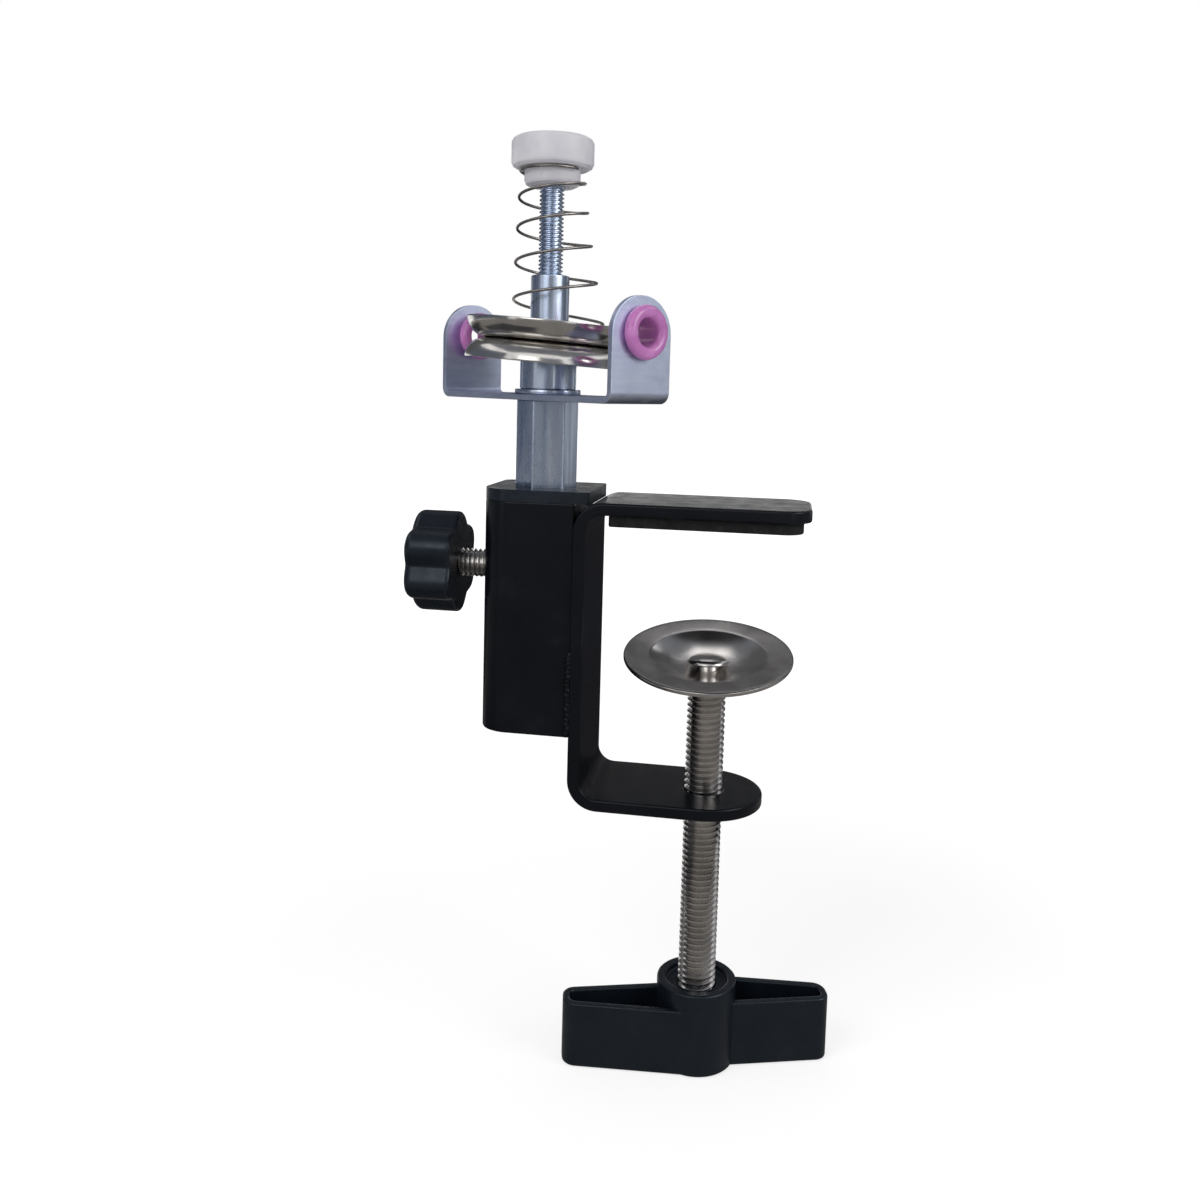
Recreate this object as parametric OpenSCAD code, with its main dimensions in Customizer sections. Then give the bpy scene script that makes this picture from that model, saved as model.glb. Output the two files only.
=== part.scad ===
// Clamp-on yarn tensioner: a bench clamp with a post that carries two sprung discs between two yarn eyelets.
// Units are millimetres. The origin is on the clamp screw's axis at the underside of the jaw pad, where the
// table top lies. Z is up and X points from the post to the tips of the jaws.

/* [Clamp frame] */
// Width of the bent strip
strip_width = 24; // [20:0.5:30]
// Thickness of the bent strip
strip_thickness = 2.5; // [2:0.1:3.5]
// Outer radius of the two bends
bend_radius = 6; // [5:0.5:9]
// From the screw axis to the inner face of the spine
throat_depth = 24; // [21:0.5:32]
// From the screw axis to the tip of the upper jaw
jaw_reach = 19.5; // [14:0.5:28]
// Radius of the upper jaw's two corners
jaw_corner_radius = 5.5; // [2:0.5:9]
// Clear height between the two arms
arm_opening = 57; // [54:0.1:70]

/* [Jaw pad] */
// Thickness of the soft pad
pad_thickness = 2.3; // [1.5:0.1:4]
// How far the pad stays inside the strip's edges
pad_inset = 1.5; // [0.5:0.1:3]

/* [Post channel] */
// Ledge of the strip beside each leg of the channel
channel_ledge = 1; // [0.5:0.1:2]
// Length of the channel's legs away from the spine
channel_leg = 19.2; // [17.5:0.1:24]
// Sheet thickness of the channel
channel_wall = 2; // [1.2:0.1:2.5]
// Outer radius of the channel's two round corners
channel_corner_radius = 6; // [3:0.1:8]
// Height of the channel
channel_height = 47; // [40:0.5:52]
// How far the channel's top lies below the top of the jaw
channel_drop = 0.6; // [0.2:0.1:3]
// Length of each weld bead
weld_length = 17.5; // [8:0.5:30]
// How far the beads start above the channel's foot
weld_rise = 0.6; // [0:0.1:5]

/* [Post cap and guide bush] */
// Thickness of the cap's flange
cap_thickness = 2.4; // [1.5:0.1:4]
// How far the flange reaches over the bend of the strip
cap_reach = 2.9; // [1:0.1:3]
// Radius of the flange's corners above the bend
cap_corner_radius = 1; // [0.5:0.1:3]
// Length of the cap's plug inside the channel
cap_plug_length = 9; // [4:0.5:10]
// Length of the guide bush at the foot of the channel
bush_length = 10; // [5:0.5:15]

/* [Post] */
// Width of the hexagonal post across its flats
hex_across_flats = 11; // [9:0.1:12]
// Turn of the hexagon about the post's axis, in degrees
hex_turn = 15; // [0:1:29]
// Length of the hexagonal post
hex_length = 65; // [58:0.5:80]
// Length of the post that shows above the cap
post_show = 17.6; // [17:0.1:24]
// From the outer face of the channel's back wall to the post's axis
post_set = 11.1; // [10.3:0.1:11.4]

/* [Thumb screw] */
// Outer diameter of the thumb screw's thread
thumb_screw_diameter = 5.9; // [5:0.1:6.5]
// From the channel's top down to the thumb screw's axis
thumb_screw_drop = 14.4; // [13.5:0.1:20]
// Diameter of the screw's turned tip
thumb_tip_diameter = 3; // [2:0.1:4]
// Length of the turned tip
thumb_tip_length = 1.5; // [0.5:0.1:2.5]
// Clear gap between the channel and the knob
thumb_knob_gap = 6.7; // [5:0.1:12]
// Diameter over the knob's lobes
thumb_knob_diameter = 21.3; // [16:0.1:26]
// Length of the knob along its axis
thumb_knob_length = 9.8; // [7:0.1:14]
// Radius of each lobe
lobe_radius = 3.4; // [2.5:0.1:4.5]
// Number of lobes
lobe_count = 6; // [5:1:8]
// Depth of the dish in the knob's outer face
thumb_knob_recess = 1.2; // [0.5:0.1:2]
// Depth of the screw's hole in the knob
thumb_knob_socket = 6; // [4:0.1:7]

/* [Clamp screw and pad] */
// Outer diameter of the clamp screw's thread
clamp_screw_diameter = 7.8; // [7:0.1:9]
// Pitch of the clamp screw's thread
clamp_screw_pitch = 1.25; // [1:0.05:1.5]
// Depth of the clamp screw's thread
clamp_thread_depth = 0.6; // [0.3:0.05:0.8]
// Height of the dish's rim below the jaw pad, at the screw's axis
dish_drop = 26.2; // [24:0.1:30]
// Diameter of the dish
dish_diameter = 34.4; // [28:0.1:38]
// Depth of the dish inside
dish_depth = 3.1; // [2:0.1:5]
// Sheet thickness of the dish
dish_sheet = 1; // [0.6:0.1:1.5]
// Diameter of the dish's flat floor
dish_floor_diameter = 13.8; // [12:0.1:18]
// Width of the dish's flat outer flange
dish_flange = 5.2; // [3:0.1:6]
// Rise of the flange from the bowl to the rim
dish_flange_rise = 0.5; // [0.2:0.1:1]
// Tilt of the loose dish towards the front, in degrees
dish_tilt = 12; // [0:1:14]
// Diameter of the screw's turned neck in the dish
neck_diameter = 4.6; // [4:0.1:5]
// Diameter of the riveted head
rivet_diameter = 6.5; // [6:0.1:8]
// Height of the riveted head
rivet_height = 3.2; // [1.2:0.1:3.2]

/* [Wing knob] */
// From the underside of the lower arm to the top of the knob's hub
wing_drop = 38.2; // [30:0.1:50]
// Diameter of the hub
hub_diameter = 16.5; // [13:0.1:20]
// Height of the hub
hub_height = 17.5; // [16:0.1:24]
// Wall of the ring on top of the hub
hub_ring = 1.9; // [1.2:0.1:2.5]
// Depth of the hollow inside that ring
hub_recess = 2; // [1:0.1:4]
// Depth of the screw's hole in the hub, below the hollow
hub_socket = 11; // [8:0.1:12]
// Span over both wings
wing_span = 56; // [45:0.5:70]
// Height of the wings
wing_height = 13.7; // [10:0.1:15]
// Thickness of a wing at its root
wing_root = 9.4; // [8:0.1:12]
// Thickness of a wing at its tip
wing_tip = 6.3; // [5:0.1:8]
// Wall around the hollow in each wing
wing_wall = 1.5; // [1:0.1:2]
// Floor under the hollow in each wing
wing_floor = 2.2; // [1.5:0.1:4]
// Turn of the wings about the screw's axis, in degrees
wing_turn = 14; // [0:1:90]

/* [Guide bracket and eyelets] */
// Outer length of the bracket over its ears
bracket_length = 55; // [50:0.5:65]
// Width of the bracket
bracket_width = 15; // [13:0.1:20]
// Sheet thickness of the bracket
bracket_sheet = 1.2; // [0.8:0.1:1.8]
// Outer radius of the bracket's two bends
bracket_bend_radius = 2.2; // [2:0.1:4]
// Height of the ears above the bracket's underside
ear_height = 20.1; // [19:0.1:26]
// Flat left between the two round corners at the top of each ear
ear_top_flat = 0.6; // [0.2:0.1:6]
// Turn of the bracket about the post's axis, in degrees
bracket_turn = -38.7; // [-180:0.1:180]
// Height of the eyelets' centres above the bracket's underside
eyelet_height = 13.3; // [12:0.1:14]
// Bore of the eyelets
eyelet_bore = 5.2; // [4:0.1:5.6]
// Outer diameter of the eyelets
eyelet_diameter = 10.2; // [9.4:0.1:11]
// Diameter of the eyelets' neck in the ear
eyelet_neck = 7.4; // [7:0.1:7.8]

/* [Tension stack] */
// Outer diameter of the stud's thread
stud_diameter = 5; // [4:0.1:5.6]
// Depth of the stud in the post
stud_depth = 12; // [6:0.5:20]
// How far the stud stands above the nut
stud_show = 0.6; // [0.1:0.1:3]
// Diameter of the washer
washer_diameter = 13.5; // [12.5:0.1:15]
// Thickness of the washer
washer_thickness = 1; // [0.6:0.1:1.6]
// Diameter of the spacer collar
collar_diameter = 11.5; // [10:0.1:13]
// Height of the spacer collar
collar_height = 8.3; // [7:0.1:12]
// Outer diameter of the sleeve
sleeve_diameter = 7.8; // [7:0.1:9]
// Height of the sleeve above the collar
sleeve_height = 14.6; // [10:0.1:18]
// Diameter of the tension discs
disc_diameter = 33.8; // [30:0.1:38]
// Depth of each disc from its flat centre to its rim
disc_depth = 4.1; // [3:0.1:5]
// Sheet thickness of the discs
disc_sheet = 0.6; // [0.4:0.1:1]
// Tilt of the loose discs towards the jaw, in degrees
disc_tilt = 4; // [0:0.5:6]
// Nut top above the collar's top
nut_rise = 41.7; // [38:0.1:48]
// Diameter of the thumb nut
nut_diameter = 16.6; // [14:0.1:20]
// Thickness of the nut's disc
nut_thickness = 6; // [4:0.1:8]
// Diameter of the nut's hub
nut_hub_diameter = 11.3; // [9:0.1:11.4]
// Length of the nut's hub
nut_hub_length = 3.5; // [2:0.1:5]
// Thickness of the chamfers on the nut's disc
nut_chamfer = 1; // [0.3:0.1:1.2]

/* [Spring] */
// Diameter of the spring's wire
wire_diameter = 0.6; // [0.5:0.05:0.9]
// Mean diameter of the spring at its foot
spring_foot_diameter = 20; // [16:0.1:21]
// Mean diameter of the spring at its top
spring_top_diameter = 13; // [13:0.1:15]
// Number of turns
spring_turns = 5.75; // [4:0.25:7]
// Turns that lie flat at each end
spring_end_turns = 0.45; // [0.25:0.05:0.75]
// Share by which the pitch is wider than the mean next to the foot and closer next to the top
spring_ease = 0.19; // [0:0.01:0.4]
// Power of the flare from the top to the foot
spring_flare = 1.6; // [1:0.1:3]
// How far the loose foot sits off the post's axis, towards the jaw
spring_lean = 2.4; // [0:0.1:2.5]
// Angle of the wire's upper end about the post's axis, in degrees
spring_end_angle = -27; // [-180:1:180]

/* [Fits] */
// Radial clearance of screws in their threads and of turning pieces on their shafts
running_fit = 0.08; // [0.02:0.01:0.1]
// Clearance of the post in its guides and of the plugs in the channel
sliding_fit = 0.12; // [0.05:0.01:0.3]
// Gap between touching pieces that turn or slide apart
face_gap = 0.05; // [0.02:0.01:0.2]
// Gap between the spring and what it presses on
spring_gap = 0.12; // [0.05:0.01:0.3]

/* [Hidden] */
$fn = 64;

// A cut runs this far past the face it opens
past = 1;

// Heights and places in the clamp frame
jaw_top = pad_thickness + strip_thickness;
arm_top = pad_thickness - arm_opening;
arm_bottom = arm_top - strip_thickness;
spine_inner = -throat_depth;
spine_outer = spine_inner - strip_thickness;
bend_inner = bend_radius - strip_thickness;
arm_end_radius = strip_width / 2;
screw_hole_radius = clamp_screw_diameter / 2 + running_fit;

// Heights and places on the post
channel_width = strip_width - 2 * channel_ledge;
channel_top = jaw_top - channel_drop;
channel_bottom = channel_top - channel_height;
channel_back = spine_outer - channel_leg;
cap_top = channel_top + cap_thickness;
cap_front = spine_outer + cap_reach;
post_x = channel_back + post_set;
rod_top = cap_top + post_show;
rod_bottom = rod_top - hex_length;
hex_radius = hex_across_flats / 2 / cos(30);

// Heights in the tension stack and corners of the bracket's ears
ear_corner_radius = (bracket_width - ear_top_flat) / 2;
bracket_top = rod_top + bracket_sheet;
washer_top = bracket_top + washer_thickness;
collar_top = washer_top + collar_height;
disc_layer = face_gap / 2 + disc_sheet;
disc_plane = collar_top + face_gap + collar_diameter / 2 * tan(disc_tilt) + disc_layer / cos(disc_tilt);
upper_disc_floor = disc_plane + disc_layer / cos(disc_tilt);
disc_hole_radius = (sleeve_diameter / 2 + running_fit + disc_layer * sin(disc_tilt)) / cos(disc_tilt);
sleeve_top = collar_top + sleeve_height;
nut_top = collar_top + nut_rise;
nut_seat = nut_top - nut_thickness;
stud_top = nut_top + stud_show;
stud_hole_radius = stud_diameter / 2 + running_fit;

// Clamp pad: the dish is held loosely between the rivet head and the shoulder of the screw
dish_pivot = -dish_drop - (dish_depth + dish_sheet / 2) * cos(dish_tilt);
sheet_half = dish_sheet / 2 / cos(dish_tilt);
dish_hole_radius = (neck_diameter / 2 + running_fit + dish_sheet / 2 * sin(dish_tilt)) / cos(dish_tilt);
rivet_seat = dish_pivot + sheet_half + rivet_diameter / 2 * tan(dish_tilt) + face_gap;
screw_shoulder = dish_pivot - sheet_half - clamp_screw_diameter / 2 * tan(dish_tilt) - face_gap;

// Wing knob
hub_top = arm_bottom - wing_drop;
hub_bottom = hub_top - hub_height;
hub_floor = hub_top - hub_recess;

// Thumb screw
thumb_z = channel_top - thumb_screw_drop;
thumb_tip_x = post_x - face_gap
    - (hex_across_flats / 2 + thumb_tip_diameter / 2 * sin(hex_turn)) / cos(hex_turn);
thumb_knob_x = channel_back - thumb_knob_gap;
lobe_ring = thumb_knob_diameter / 2 - lobe_radius;

// Spring: one wire on a flared helix that leans with its loose foot, with a short straight run at each end
wire_radius = wire_diameter / 2;
spring_foot = upper_disc_floor + wire_radius / cos(disc_tilt) + spring_gap;
spring_top = nut_seat - wire_radius - spring_gap;
rings_per_turn = 8;
wire_sides = 6;
spring_steps = round(spring_turns * rings_per_turn);

end_share = spring_end_turns / spring_turns;
function spring_height(share) =
    let (active = min(max((share - end_share) / (1 - 2 * end_share), 0), 1))
    active * (1 + spring_ease * (1 - active));
function spring_point(share) =
    let (angle = spring_end_angle + 360 * spring_turns * (share - 1))
    let (flare = (spring_foot_diameter - spring_top_diameter) * pow(1 - share, spring_flare))
    let (radius = (spring_top_diameter + flare) / 2)
    let (x = radius * cos(angle) + spring_lean * pow(1 - share, 2))
    [x, radius * sin(angle),
     spring_foot + (spring_top - spring_foot) * spring_height(share) - x * tan(disc_tilt) * (1 - share)];
function unit(v) = v / norm(v);
spring_curve = [for (i = [0 : spring_steps]) spring_point(i / spring_steps)];
foot_run = spring_curve[0] - wire_diameter * unit([(spring_curve[1] - spring_curve[0]).x,
                                                   (spring_curve[1] - spring_curve[0]).y, 0]);
top_run = spring_curve[spring_steps] + wire_diameter * unit([
    (spring_curve[spring_steps] - spring_curve[spring_steps - 1]).x,
    (spring_curve[spring_steps] - spring_curve[spring_steps - 1]).y, 0]);
spring_path = concat([foot_run], spring_curve, [top_run]);
path_last = len(spring_path) - 1;

function path_way(i) = unit(spring_path[min(i + 1, path_last)] - spring_path[max(i - 1, 0)]);
function wire_ring(i) =
    let (way = path_way(i))
    let (side = unit(cross(way, [0, 0, 1])))
    let (rise = cross(side, way))
    [for (k = [0 : wire_sides - 1])
        spring_path[i] + wire_radius * (cos(360 * k / wire_sides) * side + sin(360 * k / wire_sides) * rise)];

// Least gap of the wire to itself, between points at least half a turn apart
spring_gaps = [for (i = [0 : path_last]) for (j = [i + rings_per_turn / 2 : 1 : path_last])
    norm(spring_path[i] - spring_path[j]) - wire_diameter];
echo(least_spring_gap = min(spring_gaps));

// Flat outline with two round corners at its left and two at its right
module rounded_plan(left, right, width, left_radius, right_radius) {
    for (side = [-1, 1]) {
        translate([left + left_radius, side * (width / 2 - left_radius)]) circle(left_radius);
        translate([right - right_radius, side * (width / 2 - right_radius)]) circle(right_radius);
    }
    translate([left + left_radius, -width / 2]) square([right - right_radius - left - left_radius, width]);
    translate([left, -width / 2 + left_radius]) square([left_radius, width - 2 * left_radius]);
    translate([right - right_radius, -width / 2 + right_radius])
        square([right_radius, width - 2 * right_radius]);
}

// Quarter ring with its centre at the origin, in the corner given by two signs
module quarter_ring(inner, outer, sign_x, sign_y) {
    intersection() {
        difference() {
            circle(outer);
            circle(inner);
        }
        translate([sign_x < 0 ? -outer : 0, sign_y < 0 ? -outer : 0]) square(outer);
    }
}

module hex_prism(across_flats, from, to) {
    translate([post_x, 0, from]) rotate(hex_turn)
        cylinder(h = to - from, r = across_flats / 2 / cos(30), $fn = 6);
}

module tube(outer_radius, inner_radius, from, to) {
    translate([post_x, 0, from]) difference() {
        cylinder(h = to - from, r = outer_radius);
        translate([0, 0, -past]) cylinder(h = to - from + 2 * past, r = inner_radius);
    }
}

// Side view of the bent strip, drawn in X and Z
module strip_profile() {
    bend_x = spine_outer + bend_radius;
    translate([bend_x, jaw_top - bend_radius]) quarter_ring(bend_inner, bend_radius, -1, 1);
    translate([bend_x, arm_bottom + bend_radius]) quarter_ring(bend_inner, bend_radius, -1, -1);
    translate([spine_outer, arm_bottom + bend_radius])
        square([strip_thickness, jaw_top - arm_bottom - 2 * bend_radius]);
    translate([bend_x, pad_thickness]) square([jaw_reach - bend_x, strip_thickness]);
    translate([bend_x, arm_bottom]) square([arm_end_radius - bend_x, strip_thickness]);
}

module clamp_frame() {
    middle = (jaw_top + arm_bottom) / 2;
    color("#1b1c1f") difference() {
        intersection() {
            translate([0, strip_width / 2, 0]) rotate([90, 0, 0]) linear_extrude(strip_width) strip_profile();
            union() {
                translate([0, 0, middle]) linear_extrude(jaw_top - middle + past) {
                    translate([spine_outer - past, -strip_width / 2])
                        square([jaw_reach - jaw_corner_radius - spine_outer + past, strip_width]);
                    translate([0, -strip_width / 2 + jaw_corner_radius])
                        square([jaw_reach, strip_width - 2 * jaw_corner_radius]);
                    for (side = [-1, 1])
                        translate([jaw_reach - jaw_corner_radius,
                                   side * (strip_width / 2 - jaw_corner_radius)]) circle(jaw_corner_radius);
                }
                translate([0, 0, arm_bottom - past]) linear_extrude(middle - arm_bottom + past) {
                    translate([spine_outer - past, -strip_width / 2])
                        square([-spine_outer + past, strip_width]);
                    circle(arm_end_radius);
                }
            }
        }
        translate([0, 0, arm_bottom - past]) cylinder(h = strip_thickness + 2 * past, r = screw_hole_radius);
    }
}

module jaw_pad() {
    pad_back = spine_inner + bend_inner + pad_inset / 2;
    pad_tip = jaw_reach - pad_inset;
    pad_corner = max(jaw_corner_radius - pad_inset, pad_inset / 2);
    color("#232427") linear_extrude(pad_thickness)
        rounded_plan(pad_back, pad_tip, strip_width - 2 * pad_inset, pad_inset / 2, pad_corner);
}

// Inside of the channel, closed by the spine, with a gap all round
module channel_inside(gap) {
    inner_radius = max(channel_corner_radius - channel_wall, gap + past / 2) - gap;
    inner_back = channel_back + channel_wall + gap;
    inner_half = channel_width / 2 - channel_wall - gap;
    for (side = [-1, 1])
        translate([inner_back + inner_radius, side * (inner_half - inner_radius)]) circle(inner_radius);
    translate([inner_back + inner_radius, -inner_half])
        square([channel_leg - channel_wall - 2 * gap - inner_radius, 2 * inner_half]);
    translate([inner_back, -inner_half + inner_radius])
        square([inner_radius, 2 * (inner_half - inner_radius)]);
}

module post_channel() {
    color("#17191d") difference() {
        translate([0, 0, channel_bottom]) linear_extrude(channel_height) difference() {
            union() {
                for (side = [-1, 1])
                    translate([channel_back + channel_corner_radius,
                               side * (channel_width / 2 - channel_corner_radius)])
                        circle(channel_corner_radius);
                translate([channel_back + channel_corner_radius, -channel_width / 2])
                    square([channel_leg - channel_corner_radius, channel_width]);
                translate([channel_back, -channel_width / 2 + channel_corner_radius])
                    square([channel_corner_radius, channel_width - 2 * channel_corner_radius]);
            }
            channel_inside(0);
            translate([spine_outer - past, -channel_width / 2 + channel_wall])
                square([2 * past, channel_width - 2 * channel_wall]);
        }
        translate([channel_back - past, 0, thumb_z]) rotate([0, 90, 0])
            cylinder(h = channel_wall + 2 * past, r = thumb_screw_diameter / 2 + running_fit);
    }
}

// A bead fills the ledge where the strip is wider than the channel
module weld_beads() {
    color("#141518") translate([0, 0, channel_bottom + weld_rise]) linear_extrude(weld_length)
        for (side = [-1, 1])
            polygon([[spine_outer, side * channel_width / 2],
                     [spine_outer, side * strip_width / 2],
                     [spine_outer - channel_ledge, side * channel_width / 2]]);
}

module post_cap() {
    color("#1a1d22") difference() {
        union() {
            translate([0, 0, channel_top]) linear_extrude(cap_thickness)
                rounded_plan(channel_back, cap_front, channel_width,
                             channel_corner_radius, cap_corner_radius);
            translate([0, 0, channel_top - cap_plug_length]) linear_extrude(cap_plug_length + past)
                channel_inside(sliding_fit);
        }
        hex_prism(hex_across_flats + 2 * sliding_fit, channel_top - cap_plug_length - past, cap_top + past);
    }
}

module guide_bush() {
    color("#1f2022") difference() {
        translate([0, 0, channel_bottom]) linear_extrude(bush_length) channel_inside(sliding_fit);
        hex_prism(hex_across_flats + 2 * sliding_fit,
                  channel_bottom - past, channel_bottom + bush_length + past);
    }
}

// Half section of the dish about its own axis, with the middle of the floor's sheet at the origin
module dish_section() {
    floor_radius = dish_floor_diameter / 2;
    rim_radius = dish_diameter / 2;
    floor_low = -dish_sheet / 2;
    floor_high = dish_sheet / 2;
    bowl_radius = rim_radius - dish_flange;
    bowl_rise = dish_depth - dish_flange_rise;
    polygon([[dish_hole_radius, floor_low], [floor_radius, floor_low],
             [bowl_radius, floor_low + bowl_rise], [rim_radius, floor_low + dish_depth],
             [rim_radius, floor_high + dish_depth], [bowl_radius - dish_sheet / 2, floor_high + bowl_rise],
             [floor_radius - dish_sheet / 2, floor_high], [dish_hole_radius, floor_high]]);
}

module clamp_pad() {
    color("#b9b6b2") translate([0, 0, dish_pivot]) rotate([dish_tilt, 0, 0]) rotate_extrude() dish_section();
}

// Half section of the clamp screw's stem: plain in the knob, then one rib for each turn of the thread
module screw_section(foot) {
    crest = clamp_screw_diameter / 2;
    root = crest - clamp_thread_depth;
    ribs = floor((screw_shoulder - hub_top) / clamp_screw_pitch);
    polygon([[0, foot], [crest, foot], [crest, hub_top],
             for (rib = [0 : ribs - 1], half = [0, 1])
                 [half == 0 ? root : crest, hub_top + (rib + (1 + half) / 2) * clamp_screw_pitch],
             [crest, screw_shoulder], [0, screw_shoulder]]);
}

module clamp_screw() {
    rivet_ball = (rivet_diameter * rivet_diameter / 4 + rivet_height * rivet_height) / (2 * rivet_height);
    screw_foot = hub_floor - hub_socket;
    color("#aaa7a3") {
        rotate_extrude() screw_section(screw_foot);
        translate([0, 0, screw_shoulder - past])
            cylinder(h = rivet_seat - screw_shoulder + 2 * past, d = neck_diameter);
        intersection() {
            translate([0, 0, rivet_seat + rivet_height - rivet_ball]) sphere(rivet_ball);
            translate([0, 0, rivet_seat]) cylinder(h = rivet_height + past, r = rivet_ball + past);
        }
    }
}

// Plan of one wing, drawn along X from the hub's axis, drawn in by a margin
module wing_plan(margin) {
    tip_x = wing_span / 2 - margin;
    root_half = wing_root / 2 - margin;
    tip_half = wing_tip / 2 - margin;
    polygon([[0, -root_half], [tip_x - past, -tip_half], [tip_x, -tip_half + past],
             [tip_x, tip_half - past], [tip_x - past, tip_half], [0, root_half]]);
}

// Plan of the hollow in one wing, which stops short of the hub
module wing_hollow() {
    difference() {
        wing_plan(wing_wall);
        circle(d = hub_diameter + wing_wall);
    }
}

module wing_knob() {
    color("#18191b") translate([0, 0, hub_bottom]) rotate(wing_turn) difference() {
        union() {
            cylinder(h = hub_height, d = hub_diameter);
            for (turn = [0, 180]) rotate(turn) linear_extrude(wing_height) wing_plan(0);
        }
        for (turn = [0, 180])
            rotate(turn) translate([0, 0, wing_floor]) linear_extrude(wing_height) wing_hollow();
        translate([0, 0, hub_height - hub_recess])
            cylinder(h = hub_recess + past, r = hub_diameter / 2 - hub_ring);
        translate([0, 0, hub_height - hub_recess - hub_socket])
            cylinder(h = hub_socket + past, d = clamp_screw_diameter);
    }
}

module thumb_screw() {
    thread_end = thumb_tip_x - thumb_tip_length;
    screw_head = thumb_knob_x - thumb_knob_socket;
    color("#b4b1ad") translate([0, 0, thumb_z]) rotate([0, 90, 0]) {
        translate([0, 0, screw_head]) cylinder(h = thread_end - screw_head, d = thumb_screw_diameter);
        translate([0, 0, screw_head]) cylinder(h = thumb_tip_x - screw_head, d = thumb_tip_diameter);
    }
}

module thumb_knob() {
    socket_radius = thumb_screw_diameter / 2 + face_gap;
    knob_back = thumb_knob_x - thumb_knob_length;
    color("#161719") translate([knob_back, 0, thumb_z]) rotate([0, 90, 0]) difference() {
        linear_extrude(thumb_knob_length) {
            circle(lobe_ring + lobe_radius / 3);
            for (k = [0 : lobe_count - 1])
                rotate(360 * k / lobe_count) translate([lobe_ring, 0]) circle(lobe_radius);
        }
        translate([0, 0, -past]) cylinder(h = thumb_knob_recess + past, r = lobe_ring);
        translate([0, 0, thumb_knob_length - thumb_knob_socket - face_gap])
            cylinder(h = thumb_knob_socket + face_gap + past, r = socket_radius);
    }
}

module hex_rod() {
    color("#a9adb6") difference() {
        hex_prism(hex_across_flats, rod_bottom, rod_top);
        translate([post_x, 0, rod_top - stud_depth]) cylinder(h = stud_depth + past, r = stud_hole_radius);
    }
}

module stud() {
    color("#9da1a8") translate([post_x, 0, rod_top - stud_depth])
        cylinder(h = stud_top - rod_top + stud_depth, d = stud_diameter);
}

module sleeve() {
    color("#b5b9c0") tube(sleeve_diameter / 2, stud_hole_radius, collar_top, sleeve_top);
}

module spacer_collar() {
    color("#aeb2ba") tube(collar_diameter / 2, stud_hole_radius, washer_top, collar_top);
}

module washer() {
    color("#a6abb5") tube(washer_diameter / 2, stud_hole_radius, bracket_top, washer_top);
}

// Side view of the bracket along its length, from its underside up
module bracket_profile() {
    half = bracket_length / 2;
    inner = bracket_bend_radius - bracket_sheet;
    for (side = [-1, 1]) {
        translate([side * (half - bracket_bend_radius), bracket_bend_radius])
            quarter_ring(inner, bracket_bend_radius, side, -1);
        translate([side * (half - bracket_sheet / 2) - bracket_sheet / 2, bracket_bend_radius])
            square([bracket_sheet, ear_height - bracket_bend_radius]);
    }
    translate([-half + bracket_bend_radius, 0])
        square([bracket_length - 2 * bracket_bend_radius, bracket_sheet]);
}

module place_on_bracket() {
    translate([post_x, 0, rod_top]) rotate(bracket_turn) children();
}

// View of the bracket along its length: straight sides with two round corners at the top of the ears
module ear_plan() {
    straight = ear_height - ear_corner_radius;
    translate([-bracket_width / 2, -past]) square([bracket_width, straight + past]);
    translate([-ear_top_flat / 2, 0]) square([ear_top_flat, ear_height]);
    for (side = [-1, 1]) translate([side * ear_top_flat / 2, straight]) circle(ear_corner_radius);
}

module guide_bracket() {
    color("#8d95a8") place_on_bracket() difference() {
        intersection() {
            translate([0, bracket_width / 2, 0]) rotate([90, 0, 0])
                linear_extrude(bracket_width) bracket_profile();
            rotate([90, 0, 90]) translate([0, 0, -bracket_length / 2 - past])
                linear_extrude(bracket_length + 2 * past) ear_plan();
        }
        translate([0, 0, -past]) cylinder(h = bracket_sheet + 2 * past, r = stud_hole_radius);
        translate([-bracket_length / 2 - past, 0, eyelet_height]) rotate([0, 90, 0])
            cylinder(h = bracket_length + 2 * past, r = eyelet_neck / 2 + running_fit);
    }
}

// Half section of an eyelet: a straight bore with two round lips that grip the ear
module eyelet_section() {
    lip_radius = (eyelet_diameter - eyelet_bore) / 4;
    lip_middle = bracket_sheet / 2 + lip_radius / 2;
    translate([eyelet_bore / 2, -lip_middle]) square([(eyelet_neck - eyelet_bore) / 2, 2 * lip_middle]);
    for (side = [-1, 1]) difference() {
        translate([eyelet_bore / 2 + lip_radius, side * lip_middle]) circle(lip_radius);
        translate([0, -bracket_sheet / 2 - face_gap / 2]) square([eyelet_diameter, bracket_sheet + face_gap]);
    }
}

module eyelet(side) {
    color("#c07ab6") place_on_bracket()
        translate([side * (bracket_length - bracket_sheet) / 2, 0, eyelet_height]) rotate([0, 90, 0])
            rotate_extrude() eyelet_section();
}

module eyelet_left() {
    eyelet(-1);
}

module eyelet_right() {
    eyelet(1);
}

// Half section of a disc above the plane between the two: a flat centre and a rim that sweeps up
module disc_section() {
    flat_radius = disc_diameter / 2 - disc_depth;
    translate([0, face_gap / 2]) {
        translate([disc_hole_radius, 0]) square([flat_radius - disc_hole_radius, disc_sheet]);
        translate([flat_radius, disc_depth]) quarter_ring(disc_depth - disc_sheet, disc_depth, 1, -1);
    }
}

module place_discs() {
    translate([post_x, 0, disc_plane]) rotate([0, disc_tilt, 0]) children();
}

module lower_disc() {
    color("#c9c6c2") place_discs() mirror([0, 0, 1]) rotate_extrude() disc_section();
}

module upper_disc() {
    color("#cbc8c4") place_discs() rotate_extrude() disc_section();
}

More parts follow.
